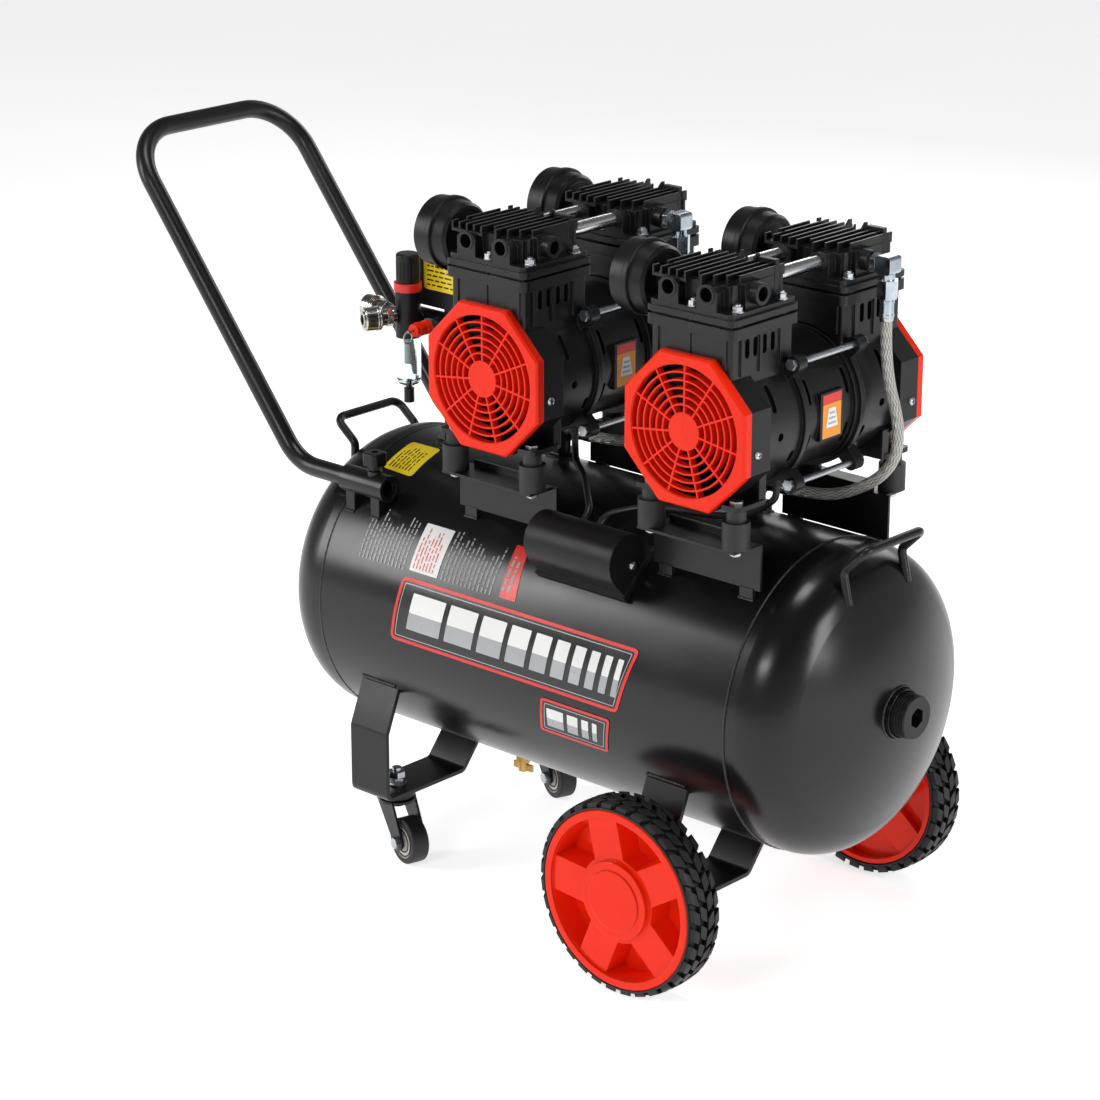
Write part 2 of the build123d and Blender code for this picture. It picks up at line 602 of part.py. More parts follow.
def rotor():
    shaft = rod_y(0, (-124, 124), 0, 8) + rod_y(0, (-33, 33), 0, 35)
    for s in (-1, 1):
        shaft += rod_y(0, (s * (HEAD_Y - 8), s * (HEAD_Y + 2)), 6, 13)
    return shaft


def fan():
    hub = rod_y(0, (-124, -108), 0, 15)
    for i in range(9):
        blade = Pos(36, -116, 0) * Rot(35, 0, 0) * Box(46, 2, 17)
        hub += Rot(0, 40 * i, 0) * blade
    return hub - rod_y(0, (-130, -100), 0, 8)


def pumps():
    case = crankcase()
    save("crankcases", at_pumps(mirrored(case)))
    save("fan_shrouds", at_pumps(mirrored(shroud())))
    save("fan_guards", at_pumps(mirrored(guard())))
    head = cylinder_head()
    behind = Pos(0, 2 * HEAD_Y, 0)
    save("cylinder_heads", at_pumps([head, behind * head]))
    filters = intake_filter()
    save("intake_filters", at_pumps([filters, behind * filters]))
    plate = block((-49, 49), (-129, -37), (DECK_Z, DECK_Z + PLATE_T)) - rod_z(0, BORE_Y, (90, 120), 9)
    for x, y in HEAD_BOLTS:
        plate += rod_z(x, y, (DECK_Z, DECK_Z + PLATE_T), 5.5) - rod_z(x, y, (90, 120), 3)
        plate -= rod_z(x, y, (90, 120), 3)
    save("valve_plates", at_pumps([plate, behind * plate]))
    save("cylinder_liners", at_pumps(mirrored(liner())))
    save("pistons", at_pumps(mirrored(piston())))
    save("motor_stators", at_pumps([stator()]))
    tubes = [rod_y(dx, (-46, 44), PORT_Z, 7) - rod_y(dx, (-60, 60), PORT_Z, 5.5) for dx in PORT_X]
    save("link_tubes", at_pumps(tubes))
    tie = rod_y(0, (-57, 57), 0, 3.2) + hex_y(0, (-57, -52.1), 0, 10) + hex_y(0, (52.1, 56), 0, 10)
    ties = [Pos(dx, 0, dz) * tie for dx in (-LUG[0], LUG[0]) for dz in (-LUG[1], LUG[1])]
    save("tie_bolts", at_pumps(ties))
    seat = DECK_Z + PLATE_T + HEAD_STEP
    bolt = rod_z(0, 0, (DECK_Z + 0.2, seat + 7.5), 2.9) + rod_z(0, 0, (seat + 0.05, seat + 1), 6)
    bolt += hex_z(0, 0, (seat + 0.9, seat + 5.5), 9)
    bolts = [Pos(x, y + shift, 0) * bolt for x, y in HEAD_BOLTS for shift in (0, 2 * HEAD_Y)]
    save("head_bolts", at_pumps(bolts))
    spinner, blades = rotor(), mirrored(fan())
    for name, x in (("a", PUMP_X[0]), ("b", PUMP_X[1])):
        place = Pos(x, 0, PUMP_Z)
        save(f"rotor_{name}", [place * spinner])
        save(f"fans_{name}", [place * b for b in blades])


# ---- air hoses, fittings and motor leads ------------------------------------
HOSE_R = 5.75
ELBOW_X = 75.0            # elbow drop from the pump's middle
ELBOW_Y = SIDE_PORT_Y + 2 * HEAD_Y
FERRULE_Z = 640.0
VALVE_Y = 38.0
VALVE_Z = 457.0


def hose_route(x):
    """Down from the elbow, out around the crankcase and in to the check valve."""
    return [
        (x + ELBOW_X, ELBOW_Y, FERRULE_Z), (x + ELBOW_X, ELBOW_Y, 590), (x + 97, 72, 532),
        (x + 88, 71, 488), (x + 48, 54, 460), (x + 12, VALVE_Y, VALVE_Z), (x - 26, VALVE_Y, VALVE_Z),
    ]


def hose_fitting(x):
    z = PUMP_Z + PORT_Z
    drop = x + ELBOW_X
    elbow = rod_x((x + 47, x + 62), ELBOW_Y, z, 6.8)
    elbow += Pos(x + 58, ELBOW_Y, z) * Rot(0, 90, 0) * hex_z(0, 0, (0, 7), 16)
    elbow += rod_x((x + 63, drop), ELBOW_Y, z, 7)
    elbow += rounded(block((drop - 9, drop + 9), (ELBOW_Y - 9, ELBOW_Y + 9), (z - 9, z + 9)), Axis.Y, 4)
    elbow += rod_z(drop, ELBOW_Y, (670, z), 7) + hex_z(drop, ELBOW_Y, (659, 677), 19)
    elbow += rod_z(drop, ELBOW_Y, (FERRULE_Z, 660), 7)
    for ring_z in (FERRULE_Z + 1, FERRULE_Z + 14.5):
        elbow += rod_z(drop, ELBOW_Y, (ring_z, ring_z + 2.5), 7.5)
    valve_x = x - 52
    top = tank_height(VALVE_Y)
    valve = rod_z(valve_x, VALVE_Y, (top - 6, 470), 8.9) + hex_z(valve_x, VALVE_Y, (446, 468), 22)
    valve += rod_x((valve_x, x - 36), VALVE_Y, VALVE_Z, 8) + rod_x((x - 36, x - 26), VALVE_Y, VALVE_Z, 7.2)
    return [elbow, valve - tank_envelope()]


LEAD_R = 3.5
COVER_ELEVATION = 47.0
COVER_REACH = 183.0       # middle of the cover's round top from the tank axis
COVER_R = 27.5
COVER_X = (12.0, 124.0)
LEAD_ENTRY = 176.0        # where the leads enter the cover, from the tank axis
LEAD_IN_X = (42.0, 62.0)


def cover_point(radial, across):
    """A point near the capacitor cover, outwards from the tank and up across it."""
    a = radians(COVER_ELEVATION)
    y = -radial * cos(a) + across * sin(a)
    return y, TANK_Z + radial * sin(a) + across * cos(a)


def lead_routes():
    low = PUMP_Z + LEAD_LOW
    reach_in = [cover_point(LEAD_ENTRY, COVER_R + 16), cover_point(LEAD_ENTRY, COVER_R - 5)]
    x_a = PUMP_X[0] + LEAD_DX
    x_b = PUMP_X[1] + LEAD_DX
    route_a = [
        (x_a, LEAD_Y, low), (x_a, LEAD_Y, low - 14), (-22, -38, 458), (4, -54, 452),
    ]
    route_b = [
        (x_b, LEAD_Y, low), (x_b, LEAD_Y, low - 14), (205, -40, 452), (170, -50, 446),
        (130, -58, 446), (92, -66, 442),
    ]
    route_a += [(LEAD_IN_X[0], y, z) for y, z in reach_in]
    route_b += [(LEAD_IN_X[1], y, z) for y, z in reach_in]
    return route_a, route_b


def services():
    hoses = [cord(hose_route(x), HOSE_R, "air hose") for x in PUMP_X]
    save("air_hoses", hoses)
    save("hose_fittings", [p for x in PUMP_X for p in hose_fitting(x)])
    save("motor_leads", [cord(route, LEAD_R, "motor lead") for route in lead_routes()])

    a = radians(COVER_ELEVATION)
    outward = Plane(origin=(COVER_X[0], 0, TANK_Z), x_dir=(0, sin(a), cos(a)), z_dir=(1, 0, 0))
    length = COVER_X[1] - COVER_X[0]

    def section(grow):
        top = Pos(0, COVER_REACH) * Circle(COVER_R + grow)
        sides = Pos(0, (COVER_REACH + 150) / 2) * Rectangle(2 * (COVER_R + grow), COVER_REACH - 150)
        return top + sides

    cover = outward * extrude(section(0), length)
    rim_band = Pos(0, 157.5) * Rectangle(2 * COVER_R + 7, 11)
    cover += outward * Pos(0, 0, -2) * extrude(rim_band, length + 4)
    cover -= outward * Pos(0, 0, 2.5) * extrude(section(-2.5), length - 5)
    for x in LEAD_IN_X:
        entry = extrude(Circle(LEAD_R + 0.6), 20)
        cover -= outward * Pos(COVER_R - 10, LEAD_ENTRY, x - COVER_X[0]) * Rot(0, 90, 0) * entry
    save("capacitor_cover", [cover - tank_envelope()])
    cap_y, cap_z = cover_point(COVER_REACH + 1, 0)
    save("run_capacitor", [rod_x((COVER_X[0] + 6, COVER_X[1] - 12), cap_y, cap_z, 22)])


# ---- pressure switch, regulator, relief valve and couplers -------------------
BOX_X = (-258.0, -180.0)
BOX_Y = (-22.0, 38.0)
BOX_Z = (576.0, 642.0)
REG = (-254.0, -40.0)
MANIFOLD_Y = -14.0
MANIFOLD_Z = 560.0
RELIEF_X = -226.0


def pressure_group():
    housing = rounded(block(BOX_X, BOX_Y, BOX_Z), Axis.Z, 5)
    housing = fillet(housing.faces().sort_by(Axis.Z)[-1].edges(), 3)
    wall = 2.5
    housing -= block(
        (BOX_X[0] + wall, BOX_X[1] - wall), (BOX_Y[0] + wall, BOX_Y[1] - wall),
        (BOX_Z[0] + wall, BOX_Z[1] - wall),
    )
    knob_x, knob_y = -219.0, 8.0
    housing -= rod_z(knob_x, knob_y, (BOX_Z[1] - 5, BOX_Z[1] + 5), 4 + FIT)
    gland = rod_x((BOX_X[1], BOX_X[1] + 14), 12, 596, 8) - rod_x((BOX_X[1] - 1, BOX_X[1] + 15), 12, 596, 3.6)
    save("switch_housing", [housing, gland])
    knob = rod_z(knob_x, knob_y, (BOX_Z[1] + 0.4, BOX_Z[1] + 12), 10)
    knob = fillet(knob.edges().sort_by(Axis.Z)[-1], 3)
    save("switch_knob", [knob + rod_z(knob_x, knob_y, (BOX_Z[1] - 12, BOX_Z[1] + 1), 4)])

    riser_x, riser_y = OUTLETS[2]
    pipe = rod_x((REG[0] - 10, -196), MANIFOLD_Y, MANIFOLD_Z, 10)
    pipe += rod_z(riser_x, riser_y, (tank_height(riser_y) - 6, MANIFOLD_Z), 8.8)
    pipe += rod_z(riser_x, riser_y, (MANIFOLD_Z, BOX_Z[0]), 8)
    pipe += hex_z(riser_x, riser_y, (530, 546), 24)
    pipe += rod_y(REG[0], (-27, MANIFOLD_Y), MANIFOLD_Z, 7) + rod_y(RELIEF_X, (-30, MANIFOLD_Y), MANIFOLD_Z, 7)
    save("air_manifold", [pipe - tank_envelope()])

    body = rod_z(*REG, (545, 594), 13.2) + rod_z(*REG, (590, 598), 11)
    body -= rod_z(*REG, (570, 600), 4 + FIT) + rod_z(*REG, (540, 556), 9)
    body -= rod_y(REG[0], (-27, -20), MANIFOLD_Z, 9)
    ring = rod_z(*REG, (594.2, 603), 14.6) - rod_z(*REG, (590, 610), 11.1)
    save("regulator_body", [body, ring])
    knob = rod_z(*REG, (603.4, 634), 12.2)
    knob = fillet(knob.edges().sort_by(Axis.Z)[-1], 3)
    for i in range(18):
        groove = rod_z(12.6, 0, (608, 626), 0.9)
        knob -= Pos(REG[0], REG[1], 0) * Rot(0, 0, 20 * i) * groove
    save("regulator_knob", [knob + rod_z(*REG, (572, 604), 4)])

    outline = [
        (0, 492), (6, 492), (11, 495), (12.8, 500), (13, 544.8), (11.4, 544.8), (11.2, 501), (9, 497), (0, 494.5),
    ]
    bowl = Pos(REG[0], REG[1], 0) * lathe(outline, Axis.Z) - rod_z(*REG, (480, 500), 2.96)
    save("filter_bowl", [bowl])
    save("filter_element", [rod_z(*REG, (516, 545), 4.5)])
    drain = rod_z(*REG, (474, 489), 5.4) + rod_z(*REG, (488, 498), 2.9)
    save("bowl_drain", [drain])

    valve = rod_y(RELIEF_X, (-36, -30), MANIFOLD_Z, 5) + hex_y(RELIEF_X, (-40, -35), MANIFOLD_Z, 15)
    for i in range(4):
        valve += rod_y(RELIEF_X, (-45.5 - 5.2 * i, -39.9 - 5.2 * i), MANIFOLD_Z, 7.6 - 0.8 * (i % 2))
    valve -= rod_y(RELIEF_X, (-70, -48), MANIFOLD_Z, 1.5 + FIT)
    save("relief_valve", [valve])
    ring = Pos(RELIEF_X, -69, MANIFOLD_Z - 6) * Rot(0, 90, 0) * Torus(6, 0.9)
    save("relief_ring", [rod_y(RELIEF_X, (-69.5, -50), MANIFOLD_Z, 1.5) + ring])

    bodies = []
    for name, heading, extra in COUPLERS:
        turn = Pos(REG[0], REG[1], COUPLER_Z) * Rot(0, 0, heading)
        stub = rod_x((13.3, 22 + extra), 0, 0, 6) + Rot(0, 90, 0) * hex_z(0, 0, (18 + extra, 24 + extra), 17)
        stub += rod_x((22 + extra, 50 + extra), 0, 0, 8.5)
        stub -= rod_x((28 + extra, 51 + extra), 0, 0, OUTLET_R)
        bodies.append(turn * stub)
        sleeve = rod_x((30 + extra, 48.5 + extra), 0, 0, 12.4)
        sleeve = chamfer(sleeve.edges().filter_by(GeomType.CIRCLE), 1.2)
        sleeve -= rod_x((20 + extra, 60 + extra), 0, 0, 8.5 + FIT)
        save(f"coupler_sleeve_{name}", [turn * sleeve])
    save("coupler_bodies", bodies)


OUTLET_R = 5.6
COUPLER_Z = 567.0
COUPLERS = (("near", 243.0, 0.0), ("far", 180.0, 12.0))


def drain_cock():
    x, y = DRAIN
    body = rod_z(x, y, (98, 118), 5.9) + hex_z(x, y, (92, 106), 14)
    body -= rod_z(x, y, (80, 104), 3 + FIT)
    save("drain_cock", [body - tank_envelope()])
    lever = rod_z(x, y, (82, 103), 3) + rod_z(x, y, (82, 91.5), 5.5)
    save("drain_lever", [lever + block((x - 13, x + 13), (y - 1.5, y + 1.5), (83, 90))])


os.makedirs("parts", exist_ok=True)
tank()
legs()
wheels()
casters()
handles()
mounting()
pumps()
services()
pressure_group()
drain_cock()
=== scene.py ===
import bpy
import bmesh
import math
import random
from mathutils import Matrix, Vector


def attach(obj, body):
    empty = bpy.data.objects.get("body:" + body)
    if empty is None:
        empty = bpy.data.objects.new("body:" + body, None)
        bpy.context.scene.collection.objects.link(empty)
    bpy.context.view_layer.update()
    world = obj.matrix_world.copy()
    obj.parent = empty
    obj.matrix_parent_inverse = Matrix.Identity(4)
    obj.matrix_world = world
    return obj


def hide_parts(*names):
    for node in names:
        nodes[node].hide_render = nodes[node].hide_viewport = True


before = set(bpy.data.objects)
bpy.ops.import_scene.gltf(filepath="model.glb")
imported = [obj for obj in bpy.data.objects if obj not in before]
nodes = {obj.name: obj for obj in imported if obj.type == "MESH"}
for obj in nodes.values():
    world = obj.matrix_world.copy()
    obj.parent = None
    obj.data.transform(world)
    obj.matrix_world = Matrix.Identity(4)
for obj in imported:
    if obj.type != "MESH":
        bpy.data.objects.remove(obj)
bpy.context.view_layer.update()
rng = random.Random(7)

# Lengths are in metres in the row's frame, unless a comment says millimetres.
SHIFT = 0.114             # the tank's middle, along the row's X
TANK_R, TANK_Z = 0.158, 0.274
SEAM = 0.272              # weld seams, from the tank's middle
PUMPS = (SHIFT - 0.057, SHIFT + 0.2017)
PUMP_Z = 0.5578           # shaft height
TYRE_R = 0.1
WHEEL = Vector((SHIFT + 0.1884, 0, TYRE_R))
WHEEL_Y = 0.1945          # middle of each tyre, from the tank's middle
CASTERS = (("front", -1, -15.0), ("rear", 1, -20.0))   # name, side of the tank, heading in degrees
CASTER_STEM = (-0.202, 0.119)
CASTER_R = CASTER_TRAIL = 0.025
RED = (0.82, 0.024, 0.003)


# ---- materials -------------------------------------------------------------
class Graph:
    """A node tree with short calls for the nodes used here."""

    def __init__(self, name):
        self.mat = bpy.data.materials.new(name)
        self.mat.use_nodes = True
        self.tree = self.mat.node_tree
        self.shader = self.tree.nodes["Principled BSDF"]
        self.coords = self.tree.nodes.new("ShaderNodeTexCoord")

    def node(self, kind, **settings):
        n = self.tree.nodes.new(kind)
        for key, value in settings.items():
            setattr(n, key, value)
        return n

    def link(self, a, b):
        self.tree.links.new(a, b)

    def mapped(self, scale):
        m = self.node("ShaderNodeMapping")
        self.link(self.coords.outputs["Object"], m.inputs["Vector"])
        m.inputs["Scale"].default_value = scale
        return m.outputs["Vector"]

    def noise(self, scale, detail=3.0, stretch=(1, 1, 1)):
        n = self.node("ShaderNodeTexNoise")
        self.link(self.mapped(stretch), n.inputs["Vector"])
        n.inputs["Scale"].default_value = scale
        n.inputs["Detail"].default_value = detail
        return n.outputs["Fac"]

    def spread(self, value, low, high, start=0.3, end=0.7):
        n = self.node("ShaderNodeMapRange")
        self.link(value, n.inputs["Value"])
        n.inputs["From Min"].default_value = start
        n.inputs["From Max"].default_value = end
        n.inputs["To Min"].default_value = low
        n.inputs["To Max"].default_value = high
        return n.outputs["Result"]

    def math(self, kind, a, b=None):
        n = self.node("ShaderNodeMath", operation=kind)
        for slot, value in enumerate((a, b)):
            if isinstance(value, (int, float)):
                n.inputs[slot].default_value = value
            elif value is not None:
                self.link(value, n.inputs[slot])
        return n.outputs[0]

    def blend(self, factor, a, b):
        n = self.node("ShaderNodeMix", data_type="RGBA")
        self.link(factor, n.inputs["Factor"])
        for socket, value in ((n.inputs[6], a), (n.inputs[7], b)):
            if isinstance(value, tuple):
                socket.default_value = (*value, 1)
            else:
                self.link(value, socket)
        return n.outputs[2]

    def edges(self, radius):
        """Rounded-edge normal, and a mask that is bright along sharp edges."""
        bevel = self.node("ShaderNodeBevel", samples=4)
        bevel.inputs["Radius"].default_value = radius
        geometry = self.node("ShaderNodeNewGeometry")
        dot = self.node("ShaderNodeVectorMath", operation="DOT_PRODUCT")
        self.link(bevel.outputs["Normal"], dot.inputs[0])
        self.link(geometry.outputs["Normal"], dot.inputs[1])
        sharp, flat = 0.72, 0.985         # cosine between the rounded and the plain normal
        return bevel.outputs["Normal"], self.spread(dot.outputs["Value"], 1, 0, sharp, flat)

    def bump(self, height, strength, distance, normal=None):
        n = self.node("ShaderNodeBump")
        n.inputs["Strength"].default_value = strength
        n.inputs["Distance"].default_value = distance
        self.link(height, n.inputs["Height"])
        if normal is not None:
            self.link(normal, n.inputs["Normal"])
        return n.outputs["Normal"]

    def set(self, **values):
        for key, value in values.items():
            socket = self.shader.inputs[key.replace("_", " ")]
            if isinstance(value, tuple) and len(value) == 3:
                value = (*value, 1)
            if hasattr(value, "links"):
                self.link(value, socket)
            else:
                socket.default_value = value


def finish(name, colour, other, rough, grain, strength, bevel=0.0008, wear_and_highlight=None, stretch=(1, 1, 1),
           distance=0.0002, patch=9, **sockets):
    """Colour that drifts between two tones, edges lightened by wear and painted highlight, uneven gloss and
    grain.

    colour and other are the two tones, rough the range of roughness, grain the scale of the
    surface's grain and strength its bump. patch is the scale of the drift between the tones.
    """
    g = Graph(name)
    speck_scale, smudge_scale, edge_mark_scale = grain * 0.4, patch * 2.3, 60
    rounded, edge = g.edges(bevel)
    drift = g.spread(g.noise(patch, 4, stretch), 0, 1, 0.35, 0.68)
    tone = g.blend(drift, colour, other)
    speck = g.spread(g.noise(speck_scale, 2, stretch), 0, 0.35, 0.55, 0.75)
    tone = g.blend(speck, tone, other)
    # sharp edges take a lighter colour: partly wear, partly painted highlight
    if wear_and_highlight is not None:
        worn_and_lit = g.math("MULTIPLY", edge, g.spread(g.noise(edge_mark_scale, 5), 0.12, 1.0, 0.42, 0.66))
        tone = g.blend(worn_and_lit, tone, wear_and_highlight)
    smudge = g.spread(g.noise(smudge_scale, 5, stretch), rough[0], rough[1], 0.32, 0.68)
    normal = g.bump(g.noise(grain, 3, stretch), strength, distance, rounded)
    g.set(Base_Color=tone, Roughness=smudge, Normal=normal, **sockets)
    return g.mat


STRAND_TURN = 0.011       # length of hose for one strand's pitch
STRANDS = 12              # strands round the hose, each way
WIRE_WAVE = 25.13         # four wires to a strand, as an angle
KEEP_POSITIVE = 900       # added before MODULO, which keeps the sign of its input


def braided(name, length):
    """Interlaced steel strands, laid along the tube's own UV map, with painted shade in the gaps between
    the wires.
    """
    g = Graph(name)
    split = g.node("ShaderNodeSeparateXYZ")
    g.link(g.coords.outputs["UV"], split.inputs[0])
    turns = g.math("MULTIPLY", split.outputs[0], round(length / STRAND_TURN))
    around = g.math("MULTIPLY", split.outputs[1], STRANDS)
    one = g.math("ADD", turns, around)
    two = g.math("SUBTRACT", turns, around)

    def ridge(v):
        centred = g.math("ABSOLUTE", g.math("SUBTRACT", g.math("FRACT", v), 0.5))
        return g.math("SUBTRACT", 1, g.math("MULTIPLY", centred, 2))

    def wires(v):
        return g.math("MULTIPLY", g.math("SINE", g.math("MULTIPLY", v, WIRE_WAVE)), 0.18)

    cell = g.math("ADD", g.math("FLOOR", one), g.math("FLOOR", g.math("ADD", two, KEEP_POSITIVE)))
    over = g.math("MODULO", cell, 2)
    first = g.math("ADD", ridge(one), wires(one))
    second = g.math("ADD", ridge(two), wires(two))
    swap = g.node("ShaderNodeMix")
    g.link(over, swap.inputs["Factor"])
    g.link(first, swap.inputs[2])
    g.link(second, swap.inputs[3])
    height = swap.outputs[0]
    # low parts between the wires are coloured near black: painted shade
    painted_shade = g.spread(height, 0, 1, 0.05, 0.5)
    g.set(Base_Color=g.blend(painted_shade, (0.03, 0.03, 0.03), (0.58, 0.57, 0.54)), Metallic=0.85,
          Roughness=g.spread(g.noise(300), 0.28, 0.45), Normal=g.bump(height, 0.9, 0.0006))
    return g.mat


# the lighter edge colours given below are partly wear and partly painted highlight
M = {
    "tank": finish("tank_paint", (0.0035, 0.0035, 0.004), (0.0055, 0.0055, 0.006), (0.2, 0.27),
                   520, 0.05, bevel=0.0015, wear_and_highlight=(0.03, 0.03, 0.03), patch=5, Specular_IOR_Level=0.38),
    "frame": finish("frame_paint", (0.005, 0.005, 0.0055), (0.009, 0.009, 0.0095), (0.26, 0.38),
                    600, 0.12, bevel=0.001, wear_and_highlight=(0.05, 0.05, 0.051), Specular_IOR_Level=0.34),
    "casting": finish("casting_paint", (0.0045, 0.0045, 0.005), (0.008, 0.008, 0.009), (0.27, 0.4),
                      900, 0.3, bevel=0.0012, wear_and_highlight=(0.06, 0.06, 0.063), distance=0.0003,
                      Specular_IOR_Level=0.34),
    "plastic": finish("black_plastic", (0.005, 0.005, 0.0055), (0.009, 0.009, 0.0095), (0.3, 0.44),
                      1300, 0.25, wear_and_highlight=(0.05, 0.05, 0.05), Specular_IOR_Level=0.26),
    "red": finish("red_plastic", RED, (0.78, 0.018, 0.003), (0.2, 0.32), 1100, 0.1, bevel=0.0009,
                  wear_and_highlight=(0.9, 0.05, 0.015), Specular_IOR_Level=0.18),
    "rim": finish("rim_plastic", RED, (0.8, 0.018, 0.003), (0.08, 0.16), 900, 0.06, bevel=0.0016,
                  wear_and_highlight=(0.9, 0.05, 0.015), Specular_IOR_Level=0.18),
    "label_red": finish("label_red", (0.72, 0.022, 0.014), (0.62, 0.016, 0.01), (0.25, 0.4), 1500, 0.05),
    "label_silver": finish("label_silver", (0.4, 0.41, 0.42), (0.33, 0.34, 0.35), (0.25, 0.4),
                           1500, 0.05, patch=14, Metallic=0.2),
    "label_black": finish("label_black", (0.006, 0.006, 0.007), (0.009, 0.009, 0.01), (0.2, 0.28),
                          1500, 0.05),
    "label_white": finish("label_white", (0.8, 0.8, 0.78), (0.7, 0.7, 0.69), (0.35, 0.5), 1500, 0.05),
    "label_grey": finish("label_grey", (0.4, 0.4, 0.4), (0.28, 0.28, 0.28), (0.35, 0.5), 1500, 0.05),
    "label_yellow": finish("label_yellow", (0.86, 0.66, 0.01), (0.8, 0.58, 0.01), (0.3, 0.45),
                           1500, 0.05),
    "label_orange": finish("label_orange", (0.8, 0.3, 0.02), (0.72, 0.25, 0.015), (0.3, 0.45),
                           1500, 0.05),
    "zinc": finish("zinc_plate", (0.56, 0.58, 0.6), (0.42, 0.45, 0.48), (0.24, 0.4), 700, 0.2,
                   bevel=0.0005, wear_and_highlight=(0.75, 0.75, 0.75), patch=60, Metallic=1.0),
    "blue_zinc": finish("blue_zinc", (0.5, 0.56, 0.61), (0.34, 0.41, 0.47), (0.14, 0.3), 500, 0.15,
                        bevel=0.0008, wear_and_highlight=(0.8, 0.82, 0.84), patch=45, Metallic=1.0),
    "steel": finish("turned_steel", (0.5, 0.5, 0.51), (0.38, 0.38, 0.39), (0.22, 0.38), 500, 0.25,
                    bevel=0.0005, stretch=(1, 0.05, 1), Metallic=1.0),
    "aluminium": finish("drawn_aluminium", (0.84, 0.84, 0.85), (0.7, 0.7, 0.71), (0.1, 0.2), 700, 0.12,
                        stretch=(1, 0.04, 1), Metallic=1.0),
    "cast": finish("cast_aluminium", (0.45, 0.45, 0.46), (0.34, 0.34, 0.35), (0.4, 0.6), 800, 0.5,
                   Metallic=0.9),
    "nickel": finish("nickel_plate", (0.6, 0.58, 0.54), (0.46, 0.44, 0.4), (0.14, 0.28), 500, 0.15,
                     bevel=0.0005, wear_and_highlight=(0.8, 0.78, 0.72), patch=50, Metallic=1.0),
    "brass": finish("turned_brass", (0.62, 0.4, 0.13), (0.46, 0.28, 0.08), (0.25, 0.42), 500, 0.2,
                    bevel=0.0005, wear_and_highlight=(0.8, 0.6, 0.3), patch=50, Metallic=1.0),
    "rubber": finish("moulded_rubber", (0.006, 0.006, 0.006), (0.012, 0.012, 0.012), (0.45, 0.65),
                     900, 0.4, wear_and_highlight=(0.035, 0.035, 0.035)),
    "tyre": finish("tyre_rubber", (0.007, 0.007, 0.0075), (0.013, 0.013, 0.013), (0.4, 0.6), 700, 0.45,
                   bevel=0.0006, wear_and_highlight=(0.04, 0.04, 0.04), distance=0.0003, Specular_IOR_Level=0.32),
    "cream": finish("caster_core", (0.52, 0.5, 0.44), (0.4, 0.38, 0.33), (0.3, 0.45), 600, 0.15,
                    wear_and_highlight=(0.6, 0.58, 0.5)),
    "lead": finish("lead_sheath", (0.006, 0.006, 0.006), (0.011, 0.011, 0.011), (0.28, 0.42),
                   1200, 0.2),
    "filter": finish("filter_element", (0.42, 0.42, 0.41), (0.3, 0.3, 0.29), (0.6, 0.8), 1600, 0.6),
    "bead": finish("weld_bead", (0.006, 0.006, 0.0065), (0.01, 0.01, 0.0105), (0.28, 0.4), 420, 0.5,
                   distance=0.0006, wear_and_highlight=(0.03, 0.03, 0.03)),
    # near-black stand-in for the shade inside screw recesses: painted shade
    "painted_shade": finish("painted_recess_shade", (0.003, 0.003, 0.003), (0.005, 0.005, 0.005), (0.6, 0.8), 900, 0.2),
}


def clear_plastic():
    g = Graph("clear_bowl")
    ripple = g.bump(g.noise(160, 2), 0.12, 0.0004)
    g.set(Base_Color=(0.9, 0.96, 0.97), Roughness=g.spread(g.noise(90), 0.02, 0.1), Normal=ripple,
          Transmission_Weight=1.0, IOR=1.3)
    return g.mat


M["clear"] = clear_plastic()

NODE_MATERIAL = {
    "tank": "tank_barrel tank_domes tank_bungs",
    "frame": "caster_leg_strap wheel_leg_strap pump_brackets carry_handles push_handle handle_sleeves "
             "caster_fork_front caster_fork_rear caster_stems air_manifold",
    "casting": "crankcases cylinder_heads motor_stators valve_plates",
    "plastic": "fan_shrouds fans_a fans_b intake_filters capacitor_cover lock_knob_front lock_knob_rear "
               "switch_housing switch_knob regulator_body regulator_knob bowl_drain end_plug",
    "red": "fan_guards relief_valve",
    "rim": "rim_front rim_rear",
    "zinc": "tie_bolts head_bolts wheel_axles relief_ring",
    "steel": "rotor_a rotor_b",
    "aluminium": "link_tubes run_capacitor",
    "cast": "cylinder_liners pistons",
    "nickel": "coupler_bodies coupler_sleeve_near coupler_sleeve_far",
    "blue_zinc": "hose_fittings",
    "brass": "drain_cock drain_lever",
    "rubber": "rubber_feet caster_wheel_front caster_wheel_rear",
    "lead": "motor_leads",
    "filter": "filter_element",
    "clear": "filter_bowl",
}
for key, names in NODE_MATERIAL.items():
    for name in names.split():
        mesh = nodes[name].data
        mesh.materials.clear()
        mesh.materials.append(M[key])


def recolour(name, key, chosen):
    """Faces of a CAD node whose middle passes the test take a second material."""
    mesh = nodes[name].data
    mesh.materials.append(M[key])
    index = len(mesh.materials) - 1
    for face in mesh.polygons:
        if chosen(face.center):
            face.material_index = index


def caster(side, heading):
    """Hub of a caster wheel, with its directions ahead and along the axle."""
    x, y = CASTER_STEM
    ahead = Vector((math.cos(math.radians(heading)), math.sin(math.radians(heading)), 0))
    hub = Vector((SHIFT + x, side * y, CASTER_R)) + ahead * CASTER_TRAIL
    return hub, ahead, Vector((-ahead.y, ahead.x, 0))


